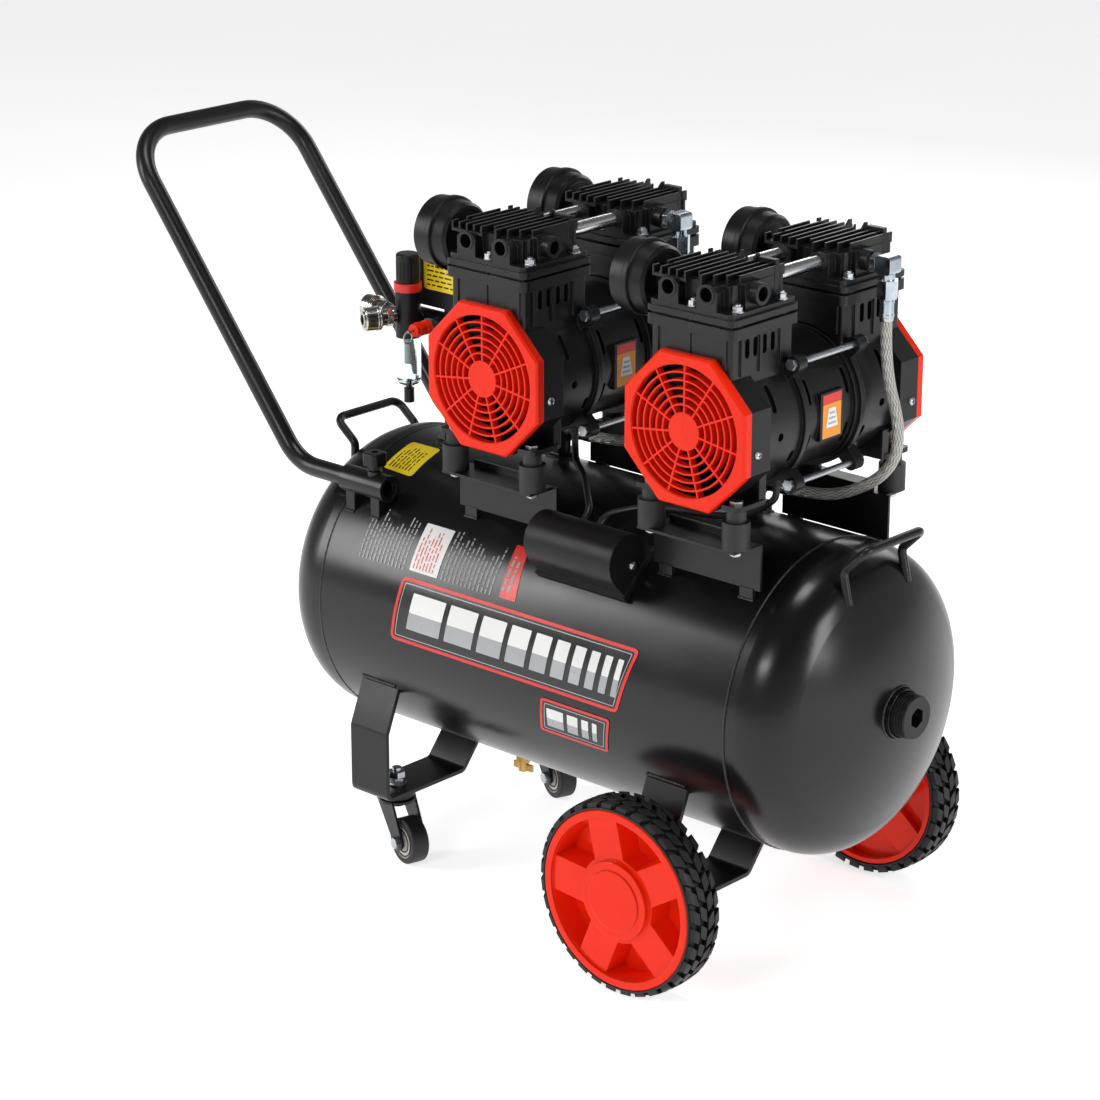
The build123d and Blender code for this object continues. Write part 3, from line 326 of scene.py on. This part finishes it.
RED_BAND = (0.5935, 0.6035)          # height of the ring under the regulator's knob
FOOT_RUBBER = (0.4477, 0.4946)       # height of the rubber between a foot's two plates
recolour("regulator_body", "label_red", lambda p: RED_BAND[0] < p.z < RED_BAND[1])
recolour("caster_stems", "zinc", lambda p: p.z > 0.0802)        # washers and nuts above the strap
recolour("rubber_feet", "zinc", lambda p: not FOOT_RUBBER[0] <= p.z <= FOOT_RUBBER[1])
recolour("hose_fittings", "frame", lambda p: p.z < 0.5)         # check valves on the tank
recolour("relief_valve", "zinc", lambda p: p.y > -0.0398)       # hexagon and thread
CORE_R = 0.0186                      # radius of a caster wheel's core, inside the tread
AXLE_R, FORK_FACE = 0.0068, 0.01655  # an axle bolt's ends stand outside the fork's faces
for side, sign, heading in CASTERS:
    hub, _, axle = caster(sign, heading)

    def reach(p, hub=hub, axle=axle):
        d = p - hub
        return (d - axle * d.dot(axle)).length, abs(d.dot(axle))

    recolour(f"caster_wheel_{side}", "cream", lambda p, f=reach: f(p)[0] < CORE_R)
    recolour(f"caster_fork_{side}", "zinc", lambda p, f=reach: f(p)[0] < AXLE_R and f(p)[1] > FORK_FACE)


# ---- mesh helpers -----------------------------------------------------------
def new_mesh(name, verts, faces, key, body="frame", smooth=None, bevel=None):
    mesh = bpy.data.meshes.new(name)
    mesh.from_pydata([tuple(v) for v in verts], [], faces)
    mesh.validate()
    fixed = bmesh.new()
    fixed.from_mesh(mesh)
    bmesh.ops.remove_doubles(fixed, verts=fixed.verts, dist=1e-6)
    bmesh.ops.recalc_face_normals(fixed, faces=fixed.faces)
    fixed.to_mesh(mesh)
    fixed.free()
    mesh.materials.append(M[key])
    obj = bpy.data.objects.new(name, mesh)
    bpy.context.scene.collection.objects.link(obj)
    if smooth is not None:
        mesh.shade_smooth()
        mesh.set_sharp_from_angle(angle=math.radians(smooth))
    if bevel:
        mod = obj.modifiers.new("Bevel", "BEVEL")
        mod.width = bevel
        mod.segments = 2
        mod.limit_method = "ANGLE"
        mod.angle_limit = math.radians(40)
    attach(obj, body)
    return obj


class Shape:
    """Vertices and faces gathered from several closed pieces."""

    def __init__(self):
        self.verts, self.faces = [], []

    def add(self, verts, faces):
        start = len(self.verts)
        self.verts += [Vector(v) for v in verts]
        self.faces += [tuple(start + i for i in f) for f in faces]

    def lathe(self, profile, place, sides=32):
        """A profile of (radius, height) pairs turned about the place's Z axis."""
        verts, faces = [], []
        for r, h in profile:
            for i in range(sides):
                a = 2 * math.pi * i / sides
                verts.append(place @ Vector((r * math.cos(a), r * math.sin(a), h)))
        for k in range(len(profile) - 1):
            for i in range(sides):
                j = (i + 1) % sides
                faces.append((k * sides + i, k * sides + j, (k + 1) * sides + j, (k + 1) * sides + i))
        faces.append(tuple(range(sides)))
        faces.append(tuple((len(profile) - 1) * sides + i for i in reversed(range(sides))))
        self.add(verts, faces)

    def tube(self, points, radius, sides=12, closed=False):
        """A round tube along points, with radius a number or one for each point."""
        points = [Vector(p) for p in points]
        count = len(points)
        radii = radius if isinstance(radius, list) else [radius] * count
        verts, faces = [], []
        side = None
        for i, p in enumerate(points):
            ahead = points[(i + 1) % count] if closed or i + 1 < count else p
            back = points[i - 1] if closed or i else p
            run = (ahead - back).normalized()
            if side is None:
                side = run.orthogonal().normalized()
            side = (side - run * side.dot(run)).normalized()
            up = run.cross(side)
            for k in range(sides):
                a = 2 * math.pi * k / sides
                verts.append(p + (side * math.cos(a) + up * math.sin(a)) * radii[i])
        for i in range(count if closed else count - 1):
            j = (i + 1) % count
            for k in range(sides):
                m = (k + 1) % sides
                faces.append((i * sides + k, i * sides + m, j * sides + m, j * sides + k))
        if not closed:
            faces.append(tuple(reversed(range(sides))))
            faces.append(tuple((count - 1) * sides + k for k in range(sides)))
        self.add(verts, faces)

    def box(self, low, high, place):
        xs, ys, zs = zip(low, high)
        corners = [Vector((x, y, z)) for x in xs for y in ys for z in zs]
        faces = [(0, 1, 3, 2), (4, 6, 7, 5), (0, 4, 5, 1), (2, 3, 7, 6), (0, 2, 6, 4), (1, 5, 7, 3)]
        self.add([place @ c for c in corners], faces)

    def make(self, name, key, body="frame", smooth=35, bevel=None):
        return new_mesh(name, self.verts, self.faces, key, body, smooth, bevel)


def facing(point, normal):
    """A frame at point whose Z axis is normal."""
    return Matrix.Translation(point) @ Vector(normal).to_track_quat("Z", "Y").to_matrix().to_4x4()


def circle(centre, u, v, radius, count):
    """Points round a circle in the plane of the unit vectors u and v."""
    turns = [2 * math.pi * i / count for i in range(count)]
    return [centre + (u * math.cos(a) + v * math.sin(a)) * radius for a in turns]


AXIS_X, AXIS_Y, AXIS_Z = Vector((1, 0, 0)), Vector((0, 1, 0)), Vector((0, 0, 1))


# ---- tyres --------------------------------------------------------------------
TREAD_DEPTH = 0.0062
TREAD_HALF = 0.0195       # half the tread's width
SHOULDER_R = 0.0022
SHOULDER_AT = 0.0966      # wheel radius at the centre of the shoulder's arc
CROWN_DROP = 0.0012       # fall of the tread from its middle to the shoulder
WALL_DROP = 0.0044        # how far the lugs run down the side wall
TREAD_END, SHOULDER_END = 0.72, 0.84
LUGS = 32                 # pairs of lugs on each side


def tread_profile(t, sunk):
    """Point across half a tyre, from its middle (t 0) over the shoulder to the side wall (t 1).

    sunk is how far the point lies under the tread's top.
    """
    if t < TREAD_END:
        u = t / TREAD_END
        return u * (TREAD_HALF - SHOULDER_R), TYRE_R - CROWN_DROP * u ** 3 - sunk
    if t < SHOULDER_END:
        a = (t - TREAD_END) / (SHOULDER_END - TREAD_END) * math.pi / 2
        out = TREAD_HALF - SHOULDER_R + SHOULDER_R * math.sin(a) - sunk * 0.3
        return out, SHOULDER_AT + SHOULDER_R * math.cos(a) - sunk
    u = (t - SHOULDER_END) / (1 - SHOULDER_END)
    return TREAD_HALF - sunk * 0.33, SHOULDER_AT - WALL_DROP * u - sunk * 0.45


def tyre(side):
    """Carcass, lugs and the two lips at the rim of one tyre."""
    s = -1 if side == "front" else 1
    centre = WHEEL + Vector((0, s * WHEEL_Y, 0))

    def at(a, across, radius):
        return centre + Vector((radius * math.cos(a), across, radius * math.sin(a)))

    shape = Shape()
    ring = [(-0.0178, 0.0885), (-0.0179, 0.0908), (-0.0172, 0.0926), (-0.0155, 0.0937), (0, 0.0943)]
    ring += [(-y, r) for y, r in reversed(ring[:-1])]
    sides = 144
    verts = [at(2 * math.pi * i / sides, y, r) for i in range(sides) for y, r in ring]
    faces = []
    n = len(ring)
    for i in range(sides):
        j = (i + 1) % sides
        for k in range(n):
            m = (k + 1) % n
            faces.append((i * n + k, j * n + k, j * n + m, i * n + m))
    shape.add(verts, faces)

    def lug(start, width, t0, t1, flip, steps=7):
        """A lug from t0 to t1 across the tread, leaning back and wider at its middle."""
        lean = 0.17
        top, low = [], []
        for i in range(steps + 1):
            t = t0 + (t1 - t0) * i / steps
            y, r = tread_profile(t, 0)
            yl, rl = tread_profile(t, TREAD_DEPTH)
            skew = lean * min(t, 0.8)
            grow = 1 + 0.12 * math.sin(math.pi * i / steps)
            for a in (start + skew - width * grow / 2, start + skew + width * grow / 2):
                top.append(at(a, flip * y, r))
                low.append(at(a, flip * yl, rl))
        verts = top + low
        k = len(top)
        faces = []
        for i in range(steps):
            a = 2 * i
            faces.append((a, a + 1, a + 3, a + 2))
            faces.append((k + a, k + a + 2, k + a + 3, k + a + 1))
            faces.append((a, a + 2, k + a + 2, k + a))
            faces.append((a + 1, k + a + 1, k + a + 3, a + 3))
        faces.append((0, k, k + 1, 1))
        faces.append((k - 2, k - 1, 2 * k - 1, 2 * k - 2))
        shape.add(verts, faces)

    pitch = 2 * math.pi / LUGS
    for i in range(LUGS):
        for flip in (-1, 1):
            a = i * pitch + (0 if flip < 0 else pitch / 2)
            lug(a, pitch * 0.6, 0.46, 1.0, flip)
            lug(a + pitch * 0.42, pitch * 0.62, 0.04, 0.4, flip, steps=4)
    obj = shape.make(f"tyre_tread_{side}", "tyre", f"wheel_{side}", bevel=0.0006)
    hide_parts(f"tyre_{side}")

    lip = Shape()
    for y, r in ((0.0199, 0.0927), (-0.0192, 0.0902)):
        lip.tube(circle(centre + Vector((0, s * y, 0)), AXIS_X, AXIS_Z, r, 120), 0.0011, 8, closed=True)
    lip.make(f"tyre_bead_{side}", "tyre", f"wheel_{side}")


for side in ("front", "rear"):
    tyre(side)


# ---- air hoses ------------------------------------------------------------------
# corner points in mm, with x from the pump's middle
HOSE_ROUTE = ((75, 72, 640), (75, 72, 590), (97, 72, 532), (88, 71, 488), (48, 54, 460),
              (12, 38, 457), (-26, 38, 457))
HOSE_R = 0.00575
for label, px in zip("ab", PUMPS):
    curve = bpy.data.curves.new(f"hose_{label}", "CURVE")
    curve.dimensions = "3D"
    curve.resolution_u = 24
    spline = curve.splines.new("NURBS")
    spline.points.add(len(HOSE_ROUTE) - 1)
    for point, (x, y, z) in zip(spline.points, HOSE_ROUTE):
        point.co = (px + x / 1000, y / 1000, z / 1000, 1)
    spline.order_u = 3
    spline.use_endpoint_u = True
    holder = bpy.data.objects.new(f"route_{label}", curve)
    bpy.context.scene.collection.objects.link(holder)
    bpy.context.view_layer.update()
    line = bpy.data.meshes.new_from_object(holder)
    centre = [v.co.copy() for v in line.vertices]
    bpy.data.objects.remove(holder)
    run = [0.0]
    for a, b in zip(centre, centre[1:]):
        run.append(run[-1] + (b - a).length)
    tube = Shape()
    sides = 24
    tube.tube(centre, HOSE_R, sides)
    mesh = bpy.data.meshes.new(f"hose_braid_{label}")
    mesh.from_pydata([tuple(v) for v in tube.verts], [], tube.faces)
    uv = mesh.uv_layers.new(name="UVMap")
    for face in mesh.polygons:
        wraps = face.index % sides == sides - 1
        for loop in face.loop_indices:
            v = mesh.loops[loop].vertex_index
            turn = (v % sides) / sides
            if wraps and v % sides == 0:
                turn = 1.0
            uv.data[loop].uv = (run[v // sides] / run[-1], turn)
    mesh.shade_smooth()
    mesh.materials.append(braided(f"braid_{label}", run[-1]))
    hose = bpy.data.objects.new(f"hose_braid_{label}", mesh)
    bpy.context.scene.collection.objects.link(hose)
    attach(hose, "frame")
    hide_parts("air_hoses")
    ends = Shape()
    for at, toward, reach, crimps in ((centre[0], centre[1], 0.004, 0), (centre[-1], centre[-2], 0.015, 3)):
        place = facing(at, toward - at)
        ends.lathe([(0.0060, -0.0005), (0.0068, 0.0), (0.0068, reach - 0.001), (0.0062, reach),
                    (0.0059, reach + 0.0002)], place)
        for k in range(crimps):
            h = 0.003 + 0.004 * k
            ends.lathe([(0.0067, h), (0.0071, h + 0.0006), (0.0071, h + 0.0018), (0.0067, h + 0.0024)],
                       place)
    ends.make(f"hose_ferrule_{label}", "nickel")


# ---- labels -----------------------------------------------------------------------
# Outlines are in mm: along the tank from its middle, and round it from the front upwards.
FIELD_LIFT, PANEL_LIFT, MARK_LIFT, BAR_LIFT = 0.00035, 0.0004, 0.0006, 0.0007


def on_tank(x, arc, lift):
    """A point on the shell from mm along the tank and mm round it from the front."""
    a = arc / 1000 / TANK_R
    r = TANK_R + lift
    return Vector((SHIFT + x / 1000, -r * math.cos(a), TANK_Z + r * math.sin(a)))


def rounded_outline(corners, radius, steps=6):
    """Outline of a quadrilateral with rounded corners, as 2-D points."""
    out = []
    for i, corner in enumerate(corners):
        c = Vector(corner)
        before = (Vector(corners[i - 1]) - c).normalized()
        after = (Vector(corners[(i + 1) % len(corners)]) - c).normalized()
        start, end = c + before * radius, c + after * radius
        for k in range(steps + 1):
            t = k / steps
            out.append(start * (1 - t) ** 2 + c * 2 * t * (1 - t) + end * t ** 2)
    return out


def dense(outline, step=6):
    """The outline with points added, so that no side is longer than step."""
    out = []
    for a, b in zip(outline, outline[1:] + outline[:1]):
        count = max(1, math.ceil((b - a).length / step))
        out += [a + (b - a) * k / count for k in range(count)]
    return out


def inset(corners, by):
    """Corners of the quadrilateral whose sides lie by further in."""
    centre = sum((Vector(c) for c in corners), Vector((0, 0))) / len(corners)
    out = []
    for i, corner in enumerate(corners):
        c = Vector(corner)
        before = (Vector(corners[i - 1]) - c).normalized()
        after = (Vector(corners[(i + 1) % len(corners)]) - c).normalized()
        sine = abs(before.x * after.y - before.y * after.x)
        move = (before + after) * by / sine
        out.append(c + move if (c + move - centre).length < (c - centre).length else c - move)
    return out


def filled(shape, outline, place, rings=8):
    """A sheet inside the outline, in rings so that it follows the curved shell."""
    centre = sum(outline, Vector((0, 0))) / len(outline)
    n = len(outline)
    verts, faces = [], []
    for r in range(rings):
        t = 1 - r / rings
        verts += [place(*(centre + (p - centre) * t)) for p in outline]
    verts.append(place(*centre))
    for r in range(rings - 1):
        for i in range(n):
            j = (i + 1) % n
            faces.append((r * n + i, r * n + j, (r + 1) * n + j, (r + 1) * n + i))
    last = (rings - 1) * n
    for i in range(n):
        faces.append((last + i, last + (i + 1) % n, len(verts) - 1))
    shape.add(verts, faces)


def strip(shape, outer, inner, place):
    """A band between two outlines with the same number of points."""
    n = len(outer)
    verts = [place(*p) for p in outer] + [place(*p) for p in inner]
    faces = [(i, (i + 1) % n, n + (i + 1) % n, n + i) for i in range(n)]
    shape.add(verts, faces)


def plate(name, corners, radius, border):
    """A name plate with a red border, a fine silver line and no lettering."""
    def tank_at(lift):
        return lambda x, s: on_tank(x, s, lift)

    def outline(depth, parts=12):
        """The plate's outline at a depth from its edge, each side cut into equal parts."""
        points = rounded_outline(inset(corners, depth), max(radius - depth, 1.5))
        sides = zip(points, points[1:] + points[:1])
        return [a + (b - a) * k / parts for a, b in sides for k in range(parts)]

    field, rim, line = Shape(), Shape(), Shape()
    filled(field, dense(rounded_outline(corners, radius)), tank_at(FIELD_LIFT))
    strip(rim, outline(0), outline(border), tank_at(MARK_LIFT))
    strip(line, outline(border + 2.2), outline(border + 3.1), tank_at(MARK_LIFT))
    field.make(f"{name}_field", "label_black", smooth=60)
    rim.make(f"{name}_border", "label_red", smooth=60)
    line.make(f"{name}_line", "label_silver", smooth=60)


def slanted_bars(name, x0, x1, low, high, widths, gap):
    """Leaning bars of falling width in two tones, standing in for the name."""
    upper, lower = Shape(), Shape()
    x = x0
    slope = 0.16
    split = low + (high - low) * 0.46        # where the two tones meet
    for w in widths:
        if x + w > x1:
            break
        for shape, a, b in ((lower, low, split), (upper, split, high)):
            lean_a, lean_b = (a - low) * slope, (b - low) * slope
            corners = [(x + lean_a, a), (x + w + lean_a, a), (x + w + lean_b, b), (x + lean_b, b)]
            filled(shape, dense(rounded_outline([Vector(c) for c in corners], 1.0, 3), 5),
                   lambda u, v: on_tank(u, v, BAR_LIFT), 4)
        x += w + gap
    upper.make(f"{name}_upper", "label_white", smooth=60)
    lower.make(f"{name}_lower", "label_silver", smooth=60)


LARGE = [Vector(c) for c in ((-169, -9.8), (140, -9.6), (160, 59.2), (-159, 58.8))]
SMALL = [Vector(c) for c in ((30, -61.4), (119, -61.4), (130, -19.5), (39, -19.5))]
plate("name_plate", LARGE, 7, 3.6)
plate("small_plate", SMALL, 5, 3.0)
slanted_bars("name_bars", -146, 138, 6, 45, (46, 38, 32, 26, 21, 17, 14, 11, 9, 7, 5), 7)
slanted_bars("small_bars", 42, 112, -52, -30, (22, 14, 9, 6), 5)


def written_lines(shape, x0, x1, s0, s1, pitch, thick, lift):
    """Rows of short dashes where small print was; each row runs round the tank."""
    x = x0
    while x + thick <= x1:
        s = s0
        end = s0 + (s1 - s0) * rng.uniform(0.6, 1.0)
        while s < end:
            dash = rng.uniform(3, 11)
            top = min(s + dash, end)
            corners = [(x, s), (x + thick, s), (x + thick, top), (x, top)]
            filled(shape, dense([Vector(c) for c in corners], 5), lambda u, v: on_tank(u, v, lift), 1)
            s = top + 1.8
        x += pitch


def panel(name, key, corners, radius, lift, place=on_tank):
    """A plain coloured field with rounded corners."""
    shape = Shape()
    outline = dense(rounded_outline([Vector(c) for c in corners], radius, 4), 5)
    filled(shape, outline, lambda u, v: place(u, v, lift))
    shape.make(name, key, smooth=60)


panel("white_panel", "label_white", ((-154, 66), (-115, 66), (-115, 118), (-154, 118)), 1.5, PANEL_LIFT)
panel("red_tab", "label_red", ((-29, 67), (-7, 67), (-16, 123), (-33, 123)), 1.0, PANEL_LIFT)
panel("tank_notice", "label_yellow", ((-255, 165), (-212, 163), (-213, 213), (-255, 213)), 5, PANEL_LIFT)
print_white, print_red, print_black = Shape(), Shape(), Shape()
written_lines(print_white, -226, -162, 64, 121, 5.2, 1.6, PANEL_LIFT)
written_lines(print_white, -110, -40, 66, 121, 5.6, 1.9, PANEL_LIFT)
written_lines(print_red, -150, -118, 69, 116, 4.4, 1.5, MARK_LIFT)
written_lines(print_black, -250, -218, 169, 209, 4.6, 1.5, MARK_LIFT)
written_lines(print_white, -28, -12, 74, 114, 7, 3.4, MARK_LIFT)
print_white.make("small_print", "label_grey", smooth=60)
print_red.make("panel_print", "label_red", smooth=60)
print_black.make("notice_print", "label_black", smooth=60)


SWITCH_FACE_Y = -0.022


def on_box(x, z, lift):
    """A point on the front of the pressure switch, from mm."""
    return Vector((SHIFT + x / 1000, SWITCH_FACE_Y - lift, z / 1000))


panel("switch_notice", "label_yellow", ((-248, 594), (-187, 594), (-187, 636), (-248, 636)), 4, 0.0003,
      on_box)
switch_print = Shape()
for row in range(7):
    x = -243
    while x < -196:
        w = rng.uniform(3, 10)
        low, high = 598.5 + 5 * row, 600.1 + 5 * row
        corners = [(x, low), (x + w, low), (x + w, high), (x, high)]
        filled(switch_print, [Vector(c) for c in corners], lambda u, v: on_box(u, v, 0.0005), 1)
        x += w + 2
switch_print.make("switch_print", "label_black", smooth=60)

BAND_R = 0.068
header, field, patch, dashes = Shape(), Shape(), Shape(), Shape()
for px in PUMPS:
    def on_band(y, z, lift, px=px):
        """A point on the side of a motor band, from mm off the shaft."""
        return Vector((px + BAND_R + lift, y / 1000, PUMP_Z + z / 1000))

    def flat(shape, corners, lift, radius=0.8):
        outline = rounded_outline([Vector(c) for c in corners], radius, 3)
        filled(shape, outline, lambda u, v: on_band(u, v, lift), 1)

    flat(header, ((-14, 12), (14, 12), (14, 21), (-14, 21)), 0.0003)
    flat(field, ((-14, -22), (14, -22), (14, 11.6), (-14, 11.6)), 0.0003)
    flat(patch, ((-9, -12), (9, -12), (5, 7), (-5, 7)), 0.0005, 1.2)
    for k in range(3):
        half, low = 6 - k, 5 * k - 9
        flat(dashes, ((-half, low), (half, low), (half, low + 2), (-half, low + 2)), 0.0007, 0.3)
header.make("band_header", "label_red")
field.make("band_field", "label_orange")
patch.make("band_patch", "label_white")
dashes.make("band_dashes", "label_grey")


# ---- weld beads ------------------------------------------------------------------
def bead(shape, points, radius, closed=False):
    """A rippled weld bead along points."""
    radii = []
    for i in range(len(points)):
        radii.append(radius * (0.86 + 0.14 * math.sin(i * 1.9) + rng.uniform(-0.06, 0.06)))
    shape.tube(points, radii, 8, closed)


def shell_z(y):
    """Height of the top of the shell at y."""
    return TANK_Z + math.sqrt(TANK_R ** 2 - y ** 2)


def straight(shape, x, half, y, z, radius, step=0.0016):
    """A bead along the tank that reaches half to each side of x."""
    a, b = Vector((x - half, y, z)), Vector((x + half, y, z))
    count = max(2, int((b - a).length / step))
    bead(shape, [a + (b - a) * i / count for i in range(count + 1)], radius)


LEG_X, LEG_HALF = (-0.204, 0.1884), 0.024             # bead on each leg strap, inside its width
LEG_EDGES = ((0.1415, 0.2030), (0.1372, 0.1948))      # y and z where a strap meets the shell
PAD_X, PAD_Y = (-0.26, -0.224), (0.1065, 0.1235)      # the handle sleeves' pads
BRACKET_X, BRACKET_Y = (-0.05, 0.05), 0.102
BUNGS = ((PUMPS[0] - 0.052, 0.038), (PUMPS[1] - 0.052, 0.038), (SHIFT - 0.216, -0.014))
BUNG_R = 0.0172           # radius of the weld round a bung
END_PORT = Vector((SHIFT + 0.3611, 0, 0.278))
END_PORT_R = 0.0262

welds = Shape()
for s in (-1, 1):
    seam = Vector((SHIFT + s * (SEAM + 0.0004), 0, TANK_Z))
    bead(welds, circle(seam, AXIS_Y, AXIS_Z, TANK_R * 0.9975, 420), 0.0013, closed=True)
    for x in LEG_X:
        for y, z in LEG_EDGES:
            straight(welds, SHIFT + x, LEG_HALF, s * y, z, 0.0019)
    for x in PAD_X:
        for y in PAD_Y:
            straight(welds, SHIFT + x, 0.006, s * y, shell_z(y), 0.0015)
    for px in PUMPS:
        for x in BRACKET_X:
            straight(welds, px + x, 0.009, s * (BRACKET_Y - 0.0002), shell_z(BRACKET_Y), 0.0017)
for x, y in BUNGS:
    ring = circle(Vector((x, y, 0)), AXIS_X, AXIS_Y, BUNG_R, 80)
    bead(welds, [Vector((p.x, p.y, shell_z(p.y))) for p in ring], 0.0016, closed=True)
bead(welds, circle(END_PORT, AXIS_Y, AXIS_Z, END_PORT_R, 90), 0.0015, closed=True)
welds.make("weld_beads", "bead", smooth=80)


# ---- spun centre of the left dome ---------------------------------------------------
centre_mark = Shape()
centre_mark.lathe([(0.0085, -0.0008), (0.0085, 0.0001), (0.0074, 0.0005), (0.0001, 0.0006)],
                  facing((SHIFT - 0.362, 0, TANK_Z), (-1, 0, 0)), 48)
centre_mark.make("dome_centre", "tank", smooth=50)


# ---- small fixings ----------------------------------------------------------------
PAN_PROFILE = ((1, 0.2), (0.9, 0.42), (0.62, 0.6), (0.3, 0.66))     # radius and height, for radius 1


def pan_head(shape, shade_boxes, point, normal, radius):
    """A screw head, and near-black boxes sunk in it as painted shade of its cross recess."""
    place = facing(point, normal)
    profile = [(radius, -0.0004)] + [(radius * r, radius * h) for r, h in PAN_PROFILE]
    shape.lathe(profile + [(0.00002, radius * 0.68)], place, 28)
    # the cross recess is not cut; near-black boxes stand in for its shade, as painted shade
    for a, b in ((0.5, 0.11), (0.11, 0.5)):
        shade_boxes.box((-radius * a, -radius * b, radius * 0.4), (radius * a, radius * b, radius * 0.7), place)


SHROUD_Y, SHROUD_REACH, SHROUD_SCREW = 0.1185, 0.074, 0.0042
screws, cross_shade = Shape(), Shape()
for px in PUMPS:
    for s in (-1, 1):
        y = s * SHROUD_Y
        for d in (-1, 1):
            pan_head(screws, cross_shade, (px + d * SHROUD_REACH, y, PUMP_Z - 0.012), (d, 0, 0), SHROUD_SCREW)
        pan_head(screws, cross_shade, (px, y, PUMP_Z - SHROUD_REACH), (0, 0, -1), SHROUD_SCREW)
for x in (-0.247, -0.191):
    for y in (-0.011, 0.027):
        pan_head(screws, cross_shade, (SHIFT + x, y, 0.642), (0, 0, 1), 0.0026)     # switch box lid
pan_head(screws, cross_shade, (SHIFT + 0.1242, -0.119, 0.402), (1, 0, 0), 0.0044)   # capacitor cover
screws.make("case_screws", "zinc")
# painted shade of the screws' cross recesses
cross_shade.make("screw_cross_shade", "painted_shade", smooth=None)

# ---- caster hubs and coupler grips ---------------------------------------------------
HUB_FACE = 0.0091         # a caster wheel's faces, from its middle
THIN_RING = 0.0008
for side, sign, heading in CASTERS:
    hub, ahead, axle = caster(sign, heading)
    rings = Shape()
    for face in (-1, 1):
        for radius in (0.0165, 0.0118):
            loop = circle(hub + axle * face * HUB_FACE, ahead, AXIS_Z, radius, 60)
            rings.tube(loop, THIN_RING, 6, closed=True)
    rings.make(f"caster_rings_{side}", "rubber", f"caster_wheel_{side}")

OUTLETS = Vector((SHIFT - 0.254, -0.04, 0.567))       # where both couplers' axes meet
GRIP_R = 0.0123           # just outside a coupler's sleeve
for label, heading, extra in (("near", 243.0, 0.0), ("far", 180.0, 0.012)):
    out = Vector((math.cos(math.radians(heading)), math.sin(math.radians(heading)), 0))
    grip = Shape()
    for reach in (0.0325, 0.0352):
        place = facing(OUTLETS + out * (reach + extra), out)
        loop = [place @ p for p in circle(Vector((0, 0, 0)), AXIS_X, AXIS_Y, GRIP_R, 60)]
        grip.tube(loop, THIN_RING, 6, closed=True)
    grip.make(f"coupler_grip_{label}", "nickel", f"coupler_sleeve_{label}")

# ---- floor, lights and camera -----------------------------------------------------
FLOOR = 14                # half its side
floor_mesh = bpy.data.meshes.new("floor")
floor_mesh.from_pydata([(-FLOOR, -FLOOR, 0), (FLOOR, -FLOOR, 0), (FLOOR, FLOOR, 0), (-FLOOR, FLOOR, 0)],
                       [], [(0, 1, 2, 3)])
# a floor that gives off some light, so that it reads white
pale = Graph("studio_floor")
tint = pale.blend(pale.spread(pale.noise(0.8), 0, 1), (0.86, 0.86, 0.86), (0.88, 0.88, 0.88))
pale.set(Base_Color=tint, Roughness=pale.spread(pale.noise(3), 0.6, 0.75), Specular_IOR_Level=0.1,
         Emission_Color=tint, Emission_Strength=0.8)
floor_mesh.materials.append(pale.mat)
ground = bpy.data.objects.new("floor", floor_mesh)
bpy.context.scene.collection.objects.link(ground)

# a studio that is bright around the horizon and dark overhead
world = bpy.data.worlds.new("studio")
world.use_nodes = True
sky = world.node_tree
place = sky.nodes.new("ShaderNodeTexCoord")
split = sky.nodes.new("ShaderNodeSeparateXYZ")
ramp = sky.nodes.new("ShaderNodeValToRGB")
sky.links.new(place.outputs["Generated"], split.inputs[0])
sky.links.new(split.outputs[2], ramp.inputs[0])
sky.links.new(ramp.outputs[0], sky.nodes["Background"].inputs["Color"])
horizon, overhead = ramp.color_ramp.elements
horizon.position, horizon.color = 0.12, (0.8, 0.8, 0.8, 1)
overhead.position, overhead.color = 0.62, (0.16, 0.16, 0.165, 1)
sky.nodes["Background"].inputs["Strength"].default_value = 0.6
bpy.context.scene.world = world


def softbox(name, place, target, size, power):
    """A rectangular light at place that faces the target."""
    light = bpy.data.lights.new(name, "AREA")
    light.shape = "RECTANGLE"
    light.size, light.size_y = size
    light.energy = power
    obj = bpy.data.objects.new(name, light)
    obj.location = place
    obj.rotation_euler = (Vector(target) - Vector(place)).to_track_quat("-Z", "Y").to_euler()
    bpy.context.scene.collection.objects.link(obj)


softbox("top", (0.1, -0.2, 2.8), (0.05, 0, 0.4), (1.2, 0.6), 20)
softbox("key", (-2.2, -2.2, 1.5), (0, 0, 0.4), (0.6, 1.6), 34)
softbox("right", (3.0, 0.3, 1.3), (0.2, 0, 0.35), (0.7, 1.6), 34)
softbox("front", (0.6, -3.2, 2.2), (0.05, 0, 0.4), (1.1, 0.5), 28)
softbox("back", (-0.6, 2.6, 1.7), (0, 0, 0.4), (2.0, 1.2), 20)

# the camera that was solved from the photo
camera = bpy.data.cameras.new("camera")
camera.lens = 110.6
camera.sensor_width = 36
camera.clip_start, camera.clip_end = 0.1, 60
eye = bpy.data.objects.new("camera", camera)
eye.location = (2.2509, -2.4494, 1.4893)
aim = Vector((0.0225, 0, 0.337)) - eye.location
eye.rotation_euler = aim.to_track_quat("-Z", "Y").to_euler()
bpy.context.scene.collection.objects.link(eye)
bpy.context.scene.camera = eye
bpy.context.scene.view_settings.view_transform = "Standard"
